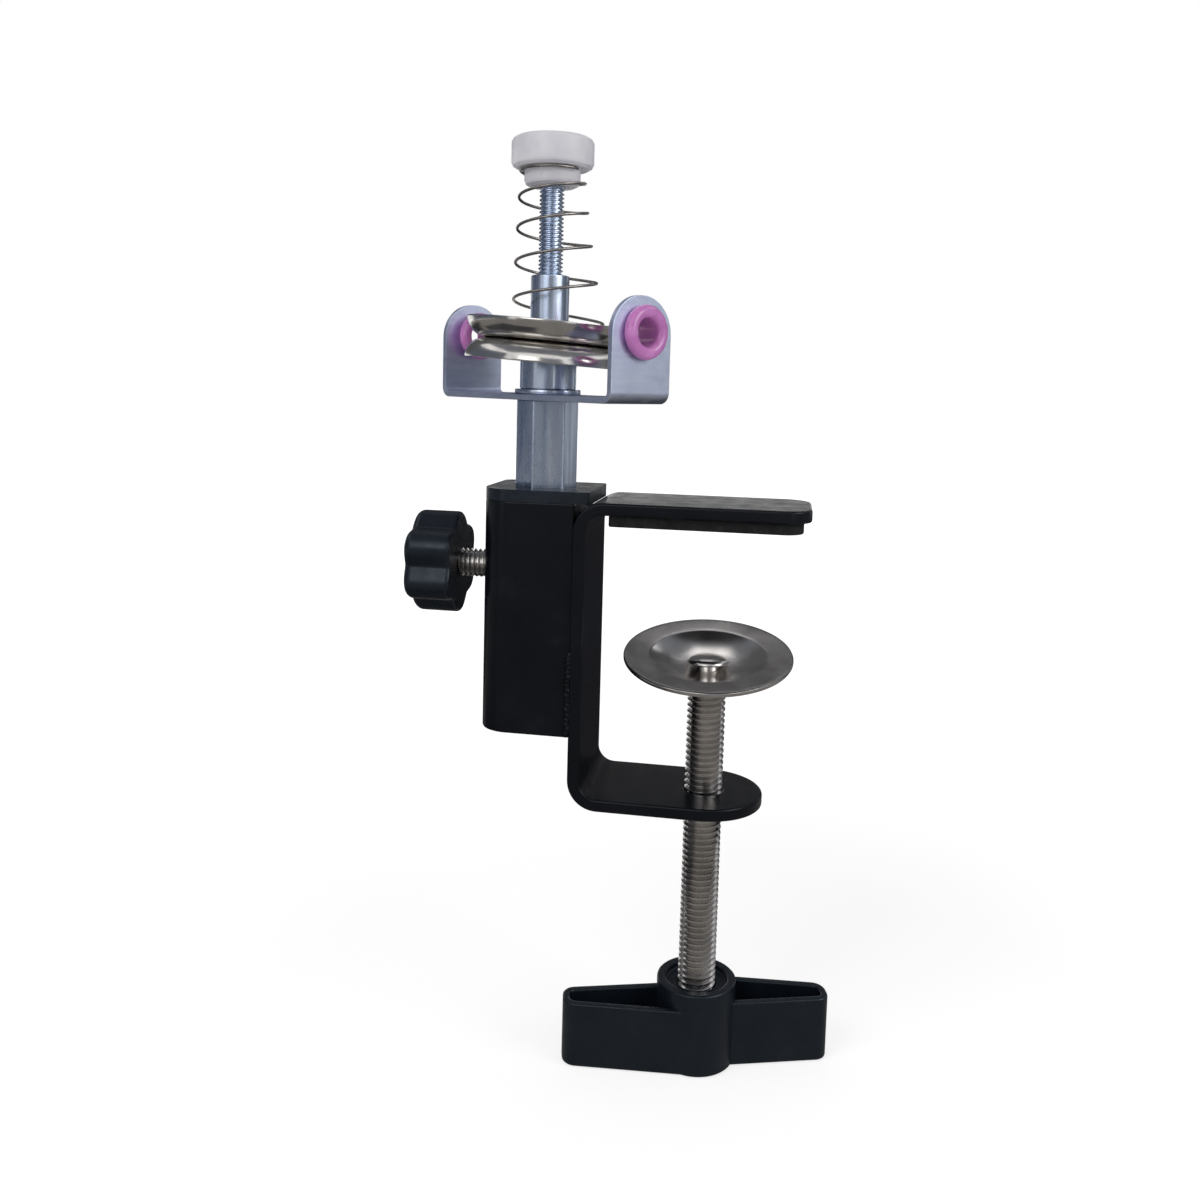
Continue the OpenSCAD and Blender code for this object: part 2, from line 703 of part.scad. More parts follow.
module tension_spring() {
    points = [for (i = [0 : path_last]) each wire_ring(i)];
    sides = [for (i = [0 : path_last - 1]) for (k = [0 : wire_sides - 1])
        let (a = i * wire_sides + k, b = i * wire_sides + (k + 1) % wire_sides)
        each [[a, b, a + wire_sides], [b, b + wire_sides, a + wire_sides]]];
    last_ring = path_last * wire_sides;
    ends = [for (k = [1 : wire_sides - 2])
        each [[0, k + 1, k], [last_ring, last_ring + k, last_ring + k + 1]]];
    color("#6f6a60") translate([post_x, 0, 0]) polyhedron(points, concat(sides, ends));
}

module tension_nut() {
    disc_radius = nut_diameter / 2;
    hub_radius = nut_hub_diameter / 2;
    color("#e6e4ea") translate([post_x, 0, nut_seat]) rotate_extrude() polygon([
        [stud_hole_radius, -nut_hub_length], [hub_radius - nut_chamfer, -nut_hub_length],
        [hub_radius, -nut_hub_length + nut_chamfer], [hub_radius, 0],
        [disc_radius - nut_chamfer, 0], [disc_radius, nut_chamfer],
        [disc_radius, nut_thickness - nut_chamfer], [disc_radius - nut_chamfer, nut_thickness],
        [stud_hole_radius, nut_thickness]]);
}

clamp_frame();
jaw_pad();
post_channel();
weld_beads();
post_cap();
guide_bush();
clamp_pad();
clamp_screw();
wing_knob();
thumb_screw();
thumb_knob();
hex_rod();
stud();
sleeve();
spacer_collar();
washer();
guide_bracket();
eyelet_left();
eyelet_right();
lower_disc();
upper_disc();
tension_spring();
tension_nut();
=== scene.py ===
# Clamp-on yarn tensioner, dressed for the camera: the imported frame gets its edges, threads and finishes
import math

import bmesh
import bpy
from mathutils import Matrix, Vector


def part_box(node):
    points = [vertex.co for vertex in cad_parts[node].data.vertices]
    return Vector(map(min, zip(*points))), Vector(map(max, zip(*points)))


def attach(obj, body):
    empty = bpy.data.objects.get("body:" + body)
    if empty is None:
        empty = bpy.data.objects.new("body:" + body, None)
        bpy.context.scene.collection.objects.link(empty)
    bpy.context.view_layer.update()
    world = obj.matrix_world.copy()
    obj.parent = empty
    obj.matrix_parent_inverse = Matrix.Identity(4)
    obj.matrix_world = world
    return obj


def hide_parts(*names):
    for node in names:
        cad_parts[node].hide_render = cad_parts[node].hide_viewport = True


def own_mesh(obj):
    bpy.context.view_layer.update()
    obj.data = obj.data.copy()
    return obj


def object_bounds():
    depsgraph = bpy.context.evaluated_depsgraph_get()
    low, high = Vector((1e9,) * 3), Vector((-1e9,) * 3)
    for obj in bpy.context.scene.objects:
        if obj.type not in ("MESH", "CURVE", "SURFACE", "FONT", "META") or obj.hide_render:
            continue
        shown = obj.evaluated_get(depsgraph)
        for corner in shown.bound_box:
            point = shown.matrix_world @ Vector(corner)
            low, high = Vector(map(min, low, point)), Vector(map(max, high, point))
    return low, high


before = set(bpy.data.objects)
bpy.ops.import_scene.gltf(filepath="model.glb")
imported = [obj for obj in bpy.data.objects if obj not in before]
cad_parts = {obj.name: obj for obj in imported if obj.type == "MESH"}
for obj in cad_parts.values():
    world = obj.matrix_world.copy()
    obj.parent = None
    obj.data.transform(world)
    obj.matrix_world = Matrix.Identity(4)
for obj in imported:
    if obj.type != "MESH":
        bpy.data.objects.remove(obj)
cad_low, cad_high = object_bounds()

# Clamp frame: a flat steel strip bent twice into a deep C and enamelled black all over.
# The jaw tip has two round corners; the lower arm ends in a half circle around the tapped screw hole.
mm = 0.001
frame_low, frame_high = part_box("clamp_frame")
strip_thickness = 2.5 * mm
strip_bend = 6 * mm
jaw_corner = 5.5 * mm
screw_hole_radius = 3.98 * mm
strip_width = frame_high.y - frame_low.y
arm_tip = strip_width / 2
strip_edge = 0.45 * mm
drill_length = 10 * mm


def deselect():
    """Leaves edit mode and deselects everything."""
    if bpy.context.mode != "OBJECT":
        bpy.ops.object.mode_set(mode="OBJECT")
    bpy.ops.object.select_all(action="DESELECT")


def activate(piece):
    """Selects one piece alone and makes it the active one."""
    deselect()
    piece.select_set(True)
    bpy.context.view_layer.objects.active = piece


def edit_latest(name):
    """Names the new primitive, settles its place, turn and scale, and opens it in edit mode."""
    piece = bpy.context.object
    piece.name = name
    piece.data.name = name
    bpy.ops.object.transform_apply(location=True, rotation=True, scale=True)
    bpy.ops.object.mode_set(mode="EDIT")
    return piece


def pick_edges(piece, wanted):
    """Selects the edges whose two ends pass a test on their places."""
    bpy.ops.mesh.select_mode(type="EDGE")
    bpy.ops.mesh.select_all(action="DESELECT")
    shape = bmesh.from_edit_mesh(piece.data)
    for edge in shape.edges:
        if wanted(edge.verts[0].co, edge.verts[1].co):
            edge.select_set(True)
    bmesh.update_edit_mesh(piece.data)


def pick_faces(piece, wanted):
    """Selects the faces whose middle and normal pass a test."""
    bpy.ops.mesh.select_mode(type="FACE")
    bpy.ops.mesh.select_all(action="DESELECT")
    shape = bmesh.from_edit_mesh(piece.data)
    shape.normal_update()
    for face in shape.faces:
        if wanted(face.calc_center_median(), face.normal):
            face.select_set(True)
    bmesh.update_edit_mesh(piece.data)


def push(x=0.0, y=0.0, z=0.0):
    """Extrudes what is selected by a straight way."""
    bpy.ops.mesh.extrude_region_move(TRANSFORM_OT_translate={"value": (x, y, z)})


def bend(centre, axis, degrees, steps=12):
    """Carries the selected end face round a bend."""
    bpy.ops.mesh.spin(steps=steps, angle=-math.radians(degrees), center=centre, axis=axis)


def close_edit(piece):
    """Merges doubles, turns all faces outwards and leaves edit mode."""
    bpy.ops.mesh.select_mode(type="VERT")
    bpy.ops.mesh.select_all(action="SELECT")
    bpy.ops.mesh.remove_doubles(threshold=0.001 * mm)
    bpy.ops.mesh.normals_make_consistent(inside=False)
    bpy.ops.object.mode_set(mode="OBJECT")
    return piece


def cut_with(piece, tool, kind="DIFFERENCE"):
    """Cuts a tool out of a piece, or joins it on, and throws the tool away."""
    activate(piece)
    cut = piece.modifiers.new("cut", "BOOLEAN")
    cut.operation = kind
    cut.solver = "EXACT"
    cut.object = tool
    bpy.ops.object.modifier_apply(modifier=cut.name)
    bpy.data.objects.remove(tool)
    return piece


def drill(piece, radius, length, place, angles=(0, 0, 0), sides=64):
    """Drills a straight hole through a piece, centred on a place."""
    deselect()
    bpy.ops.mesh.primitive_cylinder_add(
        vertices=sides, radius=radius, depth=length, location=place, rotation=angles)
    tool = bpy.context.object
    bpy.ops.object.transform_apply(location=True, rotation=True, scale=True)
    return cut_with(piece, tool)


def soften(piece, width, steps=2, above=38):
    """Rounds every edge that is sharper than an angle."""
    activate(piece)
    edge = piece.modifiers.new("soft edges", "BEVEL")
    edge.width = width
    edge.segments = steps
    edge.limit_method = "ANGLE"
    edge.angle_limit = math.radians(above)
    edge.use_clamp_overlap = True
    bpy.ops.object.modifier_apply(modifier=edge.name)
    return piece


def settle(piece, body, node, finish, smooth=32):
    """Settles a piece at the origin, shades it, gives it its finish and body, and hides the imported part it
    replaces.
    """
    activate(piece)
    bpy.ops.object.transform_apply(location=True, rotation=True, scale=True)
    bpy.ops.object.shade_smooth_by_angle(angle=math.radians(smooth))
    flats = piece.modifiers.new("flat faces", "WEIGHTED_NORMAL")
    flats.keep_sharp = True
    bpy.ops.object.modifier_apply(modifier=flats.name)
    piece.data.materials.clear()
    piece.data.materials.append(finish)
    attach(piece, body)
    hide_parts(node)
    return piece


def adjust(finish, values):
    """Sets inputs of a finish's shader by their names."""
    shader = finish.node_tree.nodes["Principled BSDF"]
    for name, value in values.items():
        shader.inputs[name].default_value = value


def new_finish(name, roughness, metallic=0.0):
    """Starts a finish with its roughness and its share of metal."""
    finish = bpy.data.materials.new(name)
    finish.use_nodes = True
    adjust(finish, {"Roughness": roughness, "Metallic": metallic})
    return finish


def grain(finish, scale, detail=4.0, warp=0.0):
    """A noise pattern on the piece's own coordinates; the scale is in cells per metre along each axis."""
    nodes = finish.node_tree.nodes
    links = finish.node_tree.links
    place = nodes.new("ShaderNodeTexCoord")
    stretch = nodes.new("ShaderNodeMapping")
    stretch.inputs["Scale"].default_value = scale
    noise = nodes.new("ShaderNodeTexNoise")
    noise.inputs["Scale"].default_value = 1.0
    noise.inputs["Detail"].default_value = detail
    noise.inputs["Distortion"].default_value = warp
    links.new(place.outputs["Object"], stretch.inputs["Vector"])
    links.new(stretch.outputs["Vector"], noise.inputs["Vector"])
    return noise.outputs["Fac"]


def tint(finish, pattern, stops):
    """Colours the finish along a pattern, from stops of a place and a colour."""
    nodes = finish.node_tree.nodes
    ramp = nodes.new("ShaderNodeValToRGB")
    band = ramp.color_ramp
    while len(band.elements) < len(stops):
        band.elements.new(0.5)
    for element, (place, colour) in zip(band.elements, stops):
        element.position = place
        element.color = (*colour, 1.0)
    shader = nodes["Principled BSDF"]
    finish.node_tree.links.new(pattern, ramp.inputs["Fac"])
    finish.node_tree.links.new(ramp.outputs["Color"], shader.inputs["Base Color"])


def vary_roughness(finish, pattern, low, high):
    """Lets the roughness wander between two values along a pattern."""
    nodes = finish.node_tree.nodes
    span = nodes.new("ShaderNodeMapRange")
    span.inputs["From Min"].default_value = 0.3
    span.inputs["From Max"].default_value = 0.7
    span.inputs["To Min"].default_value = low
    span.inputs["To Max"].default_value = high
    finish.node_tree.links.new(pattern, span.inputs["Value"])
    finish.node_tree.links.new(span.outputs["Result"], nodes["Principled BSDF"].inputs["Roughness"])


def emboss(finish, pattern, depth, strength=1.0):
    """Raises a pattern as a fine relief; the depth is in metres."""
    nodes = finish.node_tree.nodes
    shader = nodes["Principled BSDF"]
    relief = nodes.new("ShaderNodeBump")
    relief.inputs["Strength"].default_value = strength
    relief.inputs["Distance"].default_value = depth
    links = finish.node_tree.links
    before = shader.inputs["Normal"].links
    if before:
        links.new(before[0].from_socket, relief.inputs["Normal"])
    links.new(pattern, relief.inputs["Height"])
    links.new(relief.outputs["Normal"], shader.inputs["Normal"])


black_enamel = new_finish("black enamel", 0.4)
enamel_cloud = grain(black_enamel, (90, 90, 90), 5.0)
tint(black_enamel, enamel_cloud, [
    (0.30, (0.0022, 0.0031, 0.0050)), (0.62, (0.0036, 0.0047, 0.0074)), (0.76, (0.0070, 0.0086, 0.0125))])
vary_roughness(black_enamel, grain(black_enamel, (260, 260, 260), 3.0), 0.19, 0.27)
emboss(black_enamel, grain(black_enamel, (1600, 1600, 1600), 2.0), 0.03 * mm, 0.35)
emboss(black_enamel, grain(black_enamel, (220, 220, 220), 2.0), 0.03 * mm, 0.1)
adjust(black_enamel, {"Specular IOR Level": 0.22})

deselect()
bpy.ops.mesh.primitive_plane_add(
    size=1, location=(frame_high.x, 0, frame_high.z - strip_thickness / 2),
    rotation=(0, math.radians(90), 0))
bpy.context.object.scale = (strip_thickness, strip_width, 1)
clamp_strip = edit_latest("clamp_strip")
bend_x = frame_low.x + strip_bend
push(x=bend_x - frame_high.x)
bend((bend_x, 0, frame_high.z - strip_bend), (0, 1, 0), -90)
push(z=frame_low.z - frame_high.z + 2 * strip_bend)
bend((bend_x, 0, frame_low.z + strip_bend), (0, 1, 0), -90)
push(x=arm_tip - bend_x)
pick_edges(clamp_strip, lambda a, b: min(a.x, b.x) > frame_high.x - mm and abs(a.y - b.y) < mm)
bpy.ops.mesh.bevel(offset=jaw_corner, segments=10, affect="EDGES")
pick_edges(clamp_strip, lambda a, b: min(a.x, b.x) > arm_tip - mm and max(a.z, b.z) < frame_low.z + 3 * mm
           and abs(a.y - b.y) < mm)
bpy.ops.mesh.bevel(offset=0.999 * arm_tip, segments=20, affect="EDGES")
close_edit(clamp_strip)
drill(clamp_strip, screw_hole_radius, drill_length, (0, 0, frame_low.z))
soften(clamp_strip, strip_edge, 3)
settle(clamp_strip, "clamp", "clamp_frame", black_enamel)

# Jaw pad: a strip of dense black foam rubber, glued under the upper jaw to save the table top.
# It is cut a little smaller than the jaw, with the same round corners at the tip.
pad_low, pad_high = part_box("jaw_pad")
pad_tip_corner = 4 * mm
pad_back_corner = 0.75 * mm
pad_edge = 0.3 * mm

pad_foam = new_finish("pad foam", 0.85)
foam_cells = grain(pad_foam, (900, 900, 900), 3.0)
tint(pad_foam, foam_cells, [
    (0.32, (0.003, 0.003, 0.004)), (0.55, (0.006, 0.006, 0.008)), (0.75, (0.012, 0.012, 0.015))])
vary_roughness(pad_foam, grain(pad_foam, (300, 300, 300), 3.0), 0.75, 0.95)
emboss(pad_foam, foam_cells, 0.12 * mm, 0.6)


def block(name, low, high):
    """A block between two corners, open in edit mode."""
    deselect()
    bpy.ops.mesh.primitive_cube_add(size=1, location=(low + high) / 2)
    bpy.context.object.scale = high - low
    return edit_latest(name)


def round_upright(piece, radius, wanted, steps=8):
    """Rounds the upright edges of a block whose place passes a test."""
    pick_edges(piece, lambda a, b: abs(a.x - b.x) + abs(a.y - b.y) < 0.01 * mm and wanted(a))
    bpy.ops.mesh.bevel(offset=radius, segments=steps, affect="EDGES")


jaw_cushion = block("jaw_cushion", pad_low, pad_high)
round_upright(jaw_cushion, pad_tip_corner, lambda p: p.x > pad_high.x - mm)
round_upright(jaw_cushion, pad_back_corner, lambda p: p.x < pad_low.x + mm / 2, 4)
close_edit(jaw_cushion)
soften(jaw_cushion, pad_edge, 3)
settle(jaw_cushion, "clamp", "jaw_pad", pad_foam)

# Post channel: sheet steel folded into a U with wide round corners, enamelled with the frame.
# Its two legs are welded to the spine, and its back wall is tapped for the thumb screw.
channel_low, channel_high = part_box("post_channel")
channel_wall = 2 * mm
channel_corner = 6 * mm
channel_edge = 0.3 * mm
thumb_hole_radius = 3.03 * mm
thumb_low, thumb_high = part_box("thumb_screw")
thumb_z = (thumb_low.z + thumb_high.z) / 2
channel_middle = (channel_low.z + channel_high.z) / 2

deselect()
bpy.ops.mesh.primitive_plane_add(
    size=1, location=(channel_high.x, channel_low.y + channel_wall / 2, channel_middle),
    rotation=(0, math.radians(90), 0))
bpy.context.object.scale = (channel_high.z - channel_low.z, channel_wall, 1)
folded_channel = edit_latest("folded_channel")
fold_x = channel_low.x + channel_corner
push(x=fold_x - channel_high.x)
bend((fold_x, channel_low.y + channel_corner, channel_middle), (0, 0, 1), -90)
push(y=channel_high.y - channel_low.y - 2 * channel_corner)
bend((fold_x, channel_high.y - channel_corner, channel_middle), (0, 0, 1), -90)
push(x=channel_high.x - fold_x)
close_edit(folded_channel)
drill(folded_channel, thumb_hole_radius, drill_length, (channel_low.x, 0, thumb_z), (0, math.radians(90), 0))
soften(folded_channel, channel_edge)
settle(folded_channel, "clamp", "post_channel", black_enamel)

# Weld beads: two short fillet welds in the corners between the channel's legs and the spine.
# Each is a row of overlapping drops, laid by hand and enamelled over with the rest.
weld_low, weld_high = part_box("weld_beads")
drop_pitch = 0.9 * mm
drop_radius = 0.8 * mm
drop_sway = 0.09 * mm
drop_x = weld_high.x - 0.32 * mm
drop_y = weld_high.y - 0.72 * mm
drop_count = int((weld_high.z - weld_low.z - 2 * drop_radius) / drop_pitch) + 1
weld_drops = []
for side in (-1, 1):
    for index in range(drop_count):
        drop_z = weld_low.z + drop_radius + index * drop_pitch
        sway = drop_sway * math.sin(2.4 * index + side)
        deselect()
        bpy.ops.mesh.primitive_uv_sphere_add(
            segments=20, ring_count=12, radius=drop_radius,
            location=(drop_x + sway, side * drop_y, drop_z),
            rotation=(0.35 * side, 0.2, 0.3 * index))
        bpy.context.object.scale = (0.9, 0.9 + 0.1 * math.sin(1.7 * index), 1.5)
        bpy.ops.object.transform_apply(location=True, rotation=True, scale=True)
        weld_drops.append(bpy.context.object)
activate(weld_drops[0])
for drop in weld_drops:
    drop.select_set(True)
bpy.ops.object.join()
weld_rows = bpy.context.object
weld_rows.name = "weld_rows"
weld_rows.data.name = "weld_rows"
settle(weld_rows, "clamp", "weld_beads", black_enamel)

# Post cap: a moulded black plastic cap on top of the channel, with a flange that reaches over the bend.
# Its plug sits inside the channel, and a hexagonal hole through both guides the post.
cap_low, cap_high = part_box("post_cap")
cap_flange = 2.4 * mm
cap_corner = 1 * mm
cap_back_corner = 1.6 * mm
cap_lip = 0.22 * mm
cap_lip_width = 0.7 * mm
cap_edge = 0.35 * mm
lip_set_back = 0.02 * mm
plug_gap = 0.12 * mm
deep_drill = 40 * mm
post_across_flats = 11 * mm
post_turn = math.radians(15)
post_low, post_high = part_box("hex_rod")
post_x = (post_low.x + post_high.x) / 2
flange_bottom = cap_high.z - cap_flange

black_plastic = new_finish("black plastic", 0.30)
plastic_cloud = grain(black_plastic, (120, 120, 120), 4.0)
tint(black_plastic, plastic_cloud, [
    (0.30, (0.0044, 0.0064, 0.0098)), (0.60, (0.0062, 0.0088, 0.0135)), (0.78, (0.0100, 0.0132, 0.0190))])
vary_roughness(black_plastic, grain(black_plastic, (420, 420, 420), 3.0), 0.24, 0.38)
emboss(black_plastic, grain(black_plastic, (2600, 2600, 2600), 2.0), 0.02 * mm, 0.4)
adjust(black_plastic, {"Specular IOR Level": 0.46, "Specular Tint": (0.76, 0.88, 1.0, 1.0)})

channel_cap = block("channel_cap", Vector((cap_low.x, cap_low.y, flange_bottom)), cap_high)
round_upright(channel_cap, channel_corner, lambda p: p.x < cap_low.x + mm and p.y < 0)
round_upright(channel_cap, cap_back_corner, lambda p: p.x < cap_low.x + mm and p.y > 0)
round_upright(channel_cap, cap_corner, lambda p: p.x > cap_high.x - mm, 5)
close_edit(channel_cap)
plug = block(
    "plug",
    Vector((channel_low.x + channel_wall + plug_gap, channel_low.y + channel_wall + plug_gap, cap_low.z)),
    Vector((channel_high.x - plug_gap, channel_high.y - channel_wall - plug_gap, flange_bottom + mm)))
round_upright(plug, channel_corner - channel_wall, lambda p: p.x < channel_low.x + 3 * mm)
close_edit(plug)
cut_with(channel_cap, plug, "UNION")
lip = block(
    "lip", Vector((cap_high.x - cap_lip_width, cap_low.y + cap_corner, flange_bottom - cap_lip)),
    Vector((cap_high.x - lip_set_back, cap_high.y - cap_corner, flange_bottom + mm)))
close_edit(lip)
cut_with(channel_cap, lip, "UNION")
guide_radius = (post_across_flats + 2 * plug_gap) / 2 / math.cos(math.radians(30))
drill(channel_cap, guide_radius, deep_drill, (post_x, 0, flange_bottom),
      (0, 0, post_turn + math.radians(90)), 6)
soften(channel_cap, cap_edge, 3)
settle(channel_cap, "clamp", "post_cap", black_plastic)

# Guide bush: the lower guide of the post, a plain moulded block inside the channel's foot.
# Its solid is shown as it is, in the same black plastic as the cap.
guide_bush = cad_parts["guide_bush"]
guide_bush.data.materials.clear()
guide_bush.data.materials.append(black_plastic)

# Clamp pad: a shallow nickelled dish pressed from sheet, riveted loosely on the clamp screw.
# It hangs a little towards the front, as loose dishes do, and presses against the table from below.
dish_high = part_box("clamp_pad")[1]
dish_radius = 17.2 * mm
dish_floor = 3.2 * mm
dish_depth = 3.1 * mm
bowl_radius = 12 * mm
bowl_depth = 2.8 * mm
bowl_curve = 2.1
flange_curve = 0.75
dish_hole = 2.43 * mm
dish_half = 0.5 * mm
dish_slant = 0.35 * mm
dish_tilt = math.radians(12)
dish_pivot = dish_high.z - (dish_depth + dish_half) * math.cos(dish_tilt) - dish_radius * math.sin(dish_tilt)


def turn(name, rings, closed=False, sides=96):
    """Turns a piece on the lathe from rings of a radius and a height; a closed row is a hollow piece."""
    deselect()
    bpy.ops.mesh.primitive_circle_add(vertices=sides, radius=rings[0][0], location=(0, 0, rings[0][1]))
    piece = edit_latest(name)
    bpy.ops.mesh.select_mode(type="EDGE")
    bpy.ops.mesh.select_all(action="SELECT")
    if not closed:
        bpy.ops.mesh.edge_face_add()
    for (radius, height), (next_radius, next_height) in zip(rings, rings[1:]):
        bpy.ops.mesh.extrude_region_move(TRANSFORM_OT_translate={"value": (0, 0, next_height - height)})
        grow = next_radius / radius
        bpy.ops.transform.resize(value=(grow, grow, 1), center_override=(0, 0, next_height))
    if closed:
        bpy.ops.mesh.select_all(action="DESELECT")
        bpy.ops.mesh.select_non_manifold()
        bpy.ops.mesh.bridge_edge_loops()
    return close_edit(piece)


nickel = new_finish("nickel", 0.2, 1.0)
nickel_cloud = grain(nickel, (140, 140, 140), 6.0, 0.6)
tint(nickel, nickel_cloud, [
    (0.28, (0.57, 0.55, 0.53)), (0.50, (0.68, 0.655, 0.635)), (0.72, (0.78, 0.755, 0.735))])
vary_roughness(nickel, grain(nickel, (170, 170, 170), 3.0), 0.17, 0.27)
emboss(nickel, grain(nickel, (300, 300, 300), 2.0), 0.02 * mm, 0.2)

dish_top = []
for step in range(25):
    out = step / 24
    dish_top.append((dish_floor + (bowl_radius - dish_floor) * out, bowl_depth * out ** bowl_curve))
dish_top += [(bowl_radius + (dish_radius - dish_slant - bowl_radius) * out,
              bowl_depth + (dish_depth - bowl_depth) * out ** flange_curve)
             for out in (0.02, 0.05, 0.09, 0.14, 0.2, 0.3, 0.45, 0.6, 0.8, 1)]
dish_edge = [(dish_radius - 0.1 * mm, dish_depth - 0.1 * mm), (dish_radius, dish_depth - 0.3 * mm),
             (dish_radius, dish_depth - 0.65 * mm), (dish_radius - 0.15 * mm, dish_depth - 0.9 * mm)]
press_dish = turn("press_dish", [(dish_hole, dish_half)]
                  + [(radius, height + dish_half) for radius, height in dish_top]
                  + [(radius, height + dish_half) for radius, height in dish_edge]
                  + [(radius - dish_slant, height - dish_half) for radius, height in reversed(dish_top)]
                  + [(dish_hole, -dish_half)], True)
press_dish.rotation_euler.x = dish_tilt
press_dish.location.z = dish_pivot
settle(press_dish, "clamp_pad", "clamp_pad", nickel, 40)

# Clamp screw: a nickelled M8 screw with its full coarse thread from the dish down into the wing knob.
# The turned neck on top carries the dish and is riveted over into a wide round head.
screw_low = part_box("clamp_screw")[0]
screw_radius = 3.9 * mm
screw_pitch = 1.25 * mm
screw_thread_depth = 0.7 * mm
neck_radius = 2.25 * mm
rivet_radius = 4.3 * mm
rivet_edge = 0.2 * mm
rivet_wall = 0.3 * mm
rivet_rise = 1.3 * mm
rivet_fullness = 0.85
rivet_gap = 0.06 * mm
shoulder_gap = 0.05 * mm
dish_slope = math.tan(dish_tilt)
dish_rise = dish_half / math.cos(dish_tilt)
screw_shoulder = dish_pivot - dish_rise - screw_radius * dish_slope - shoulder_gap
rivet_seat = dish_pivot + dish_rise + rivet_gap
rivet_brim = rivet_seat + rivet_radius * dish_slope


def cut_thread(name, radius, depth, pitch, foot, top, sides=40):
    """Cuts a right-hand thread: one tooth's outline carried round and up, then trimmed flat at both ends."""
    root = radius - depth
    tooth = [(root, 0.0), (root, 0.12), (radius, 0.44), (radius, 0.62), (root, 1.0)]
    deselect()
    bpy.ops.mesh.primitive_circle_add(vertices=len(tooth), radius=radius)
    piece = edit_latest(name)
    shape = bmesh.from_edit_mesh(piece.data)
    shape.verts.ensure_lookup_table()
    for vertex, (reach, rise) in zip(shape.verts, tooth):
        vertex.co = Vector((reach, 0, foot + (rise - 2) * pitch))
    bmesh.update_edit_mesh(piece.data)
    pick_edges(piece, lambda a, b: abs(abs(a.z - b.z) - pitch) < 0.01 * pitch)
    bpy.ops.mesh.delete(type="EDGE")
    bpy.ops.object.mode_set(mode="OBJECT")
    climb = piece.modifiers.new("climb", "SCREW")
    climb.angle = math.radians(360)
    climb.screw_offset = pitch
    climb.iterations = int((top - foot) / pitch) + 4
    climb.steps = sides
    climb.render_steps = sides
    bpy.ops.object.modifier_apply(modifier=climb.name)
    bpy.ops.object.mode_set(mode="EDIT")
    bpy.ops.mesh.select_all(action="SELECT")
    bpy.ops.mesh.remove_doubles(threshold=0.005 * mm)
    bpy.ops.mesh.bisect(plane_co=(0, 0, foot), plane_no=(0, 0, 1), use_fill=True, clear_inner=True)
    bpy.ops.mesh.select_all(action="SELECT")
    bpy.ops.mesh.bisect(plane_co=(0, 0, top), plane_no=(0, 0, 1), use_fill=True, clear_outer=True)
    return close_edit(piece)


def join_onto(piece, other):
    """Joins a second mesh to a piece."""
    activate(piece)
    other.select_set(True)
    bpy.ops.object.join()
    return piece


drive_screw = cut_thread(
    "drive_screw", screw_radius, screw_thread_depth, screw_pitch, screw_low.z, screw_shoulder)
rivet_rings = [
    (neck_radius, screw_shoulder - mm), (neck_radius, rivet_seat + neck_radius * dish_slope),
    (rivet_radius - rivet_edge, rivet_brim), (rivet_radius, rivet_brim + rivet_edge)]
for degrees in (0, 10, 20, 30, 40, 50, 60, 70, 78, 85):
    slope = math.radians(degrees)
    rivet_rings.append((
        rivet_radius * math.cos(slope) ** rivet_fullness,
        rivet_brim + rivet_wall + rivet_rise * math.sin(slope)))
rivet = turn("rivet", rivet_rings, False, 64)
join_onto(drive_screw, rivet)
settle(drive_screw, "clamp_screw", "clamp_screw", nickel, 40)

# Wing knob: a black plastic knob moulded on the screw's foot, a round hub between two hollow wings.
# The wings run off the hub's front and back and are open at the top; a ring stands around its recess.
knob_low, knob_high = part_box("wing_knob")
hub_radius = 8.25 * mm
hub_ring = 1.9 * mm
hub_recess = 1.2 * mm
hub_fit = 0.03 * mm
wing_span = 56 * mm
wing_outer_root = 7.9 * mm
wing_inner_root = 4.7 * mm
wing_tip = 6.3 * mm
wing_wall = 1.5 * mm
wing_floor = 2.2 * mm
wing_height = 13.7 * mm
wing_top = knob_low.z + wing_height
wing_corner = 2.4 * mm
wing_turn = math.radians(14)
knob_edge = 0.5 * mm

wing_knob = block("winged_knob", Vector((-wing_span / 2, -wing_tip / 2, knob_low.z)),
                  Vector((0, wing_tip / 2, wing_top)))
pick_faces(wing_knob, lambda middle, normal: normal.x > 0.9)
bpy.ops.transform.resize(value=(1, (wing_outer_root + wing_inner_root) / wing_tip, 1),
                         center_override=(0, 0, knob_low.z))
bpy.ops.transform.translate(value=(0, (wing_inner_root - wing_outer_root) / 2, 0))
round_upright(wing_knob, wing_corner, lambda p: p.x < mm - wing_span / 2)
pick_faces(wing_knob, lambda middle, normal: normal.z > 0.9)
bpy.ops.mesh.inset(thickness=wing_wall, depth=0)
push(z=wing_floor + knob_low.z - wing_top)
close_edit(wing_knob)
soften(wing_knob, knob_edge, 3)
activate(wing_knob)
bpy.ops.object.duplicate()
right_wing = bpy.context.object
right_wing.rotation_euler.z = math.radians(180)
deselect()
bpy.ops.mesh.primitive_cylinder_add(
    vertices=96, radius=hub_radius, depth=knob_high.z - knob_low.z,
    location=(0, 0, (knob_low.z + knob_high.z) / 2))
hub = close_edit(edit_latest("hub"))
drill(hub, hub_radius - hub_ring, 2 * hub_recess, (0, 0, knob_high.z), sides=96)
drill(hub, screw_radius + hub_fit, deep_drill, (0, 0, screw_low.z + deep_drill / 2))
soften(hub, knob_edge, 3)
join_onto(wing_knob, right_wing)
join_onto(wing_knob, hub)
wing_knob.rotation_euler.z = wing_turn
settle(wing_knob, "clamp_screw", "wing_knob", black_plastic)

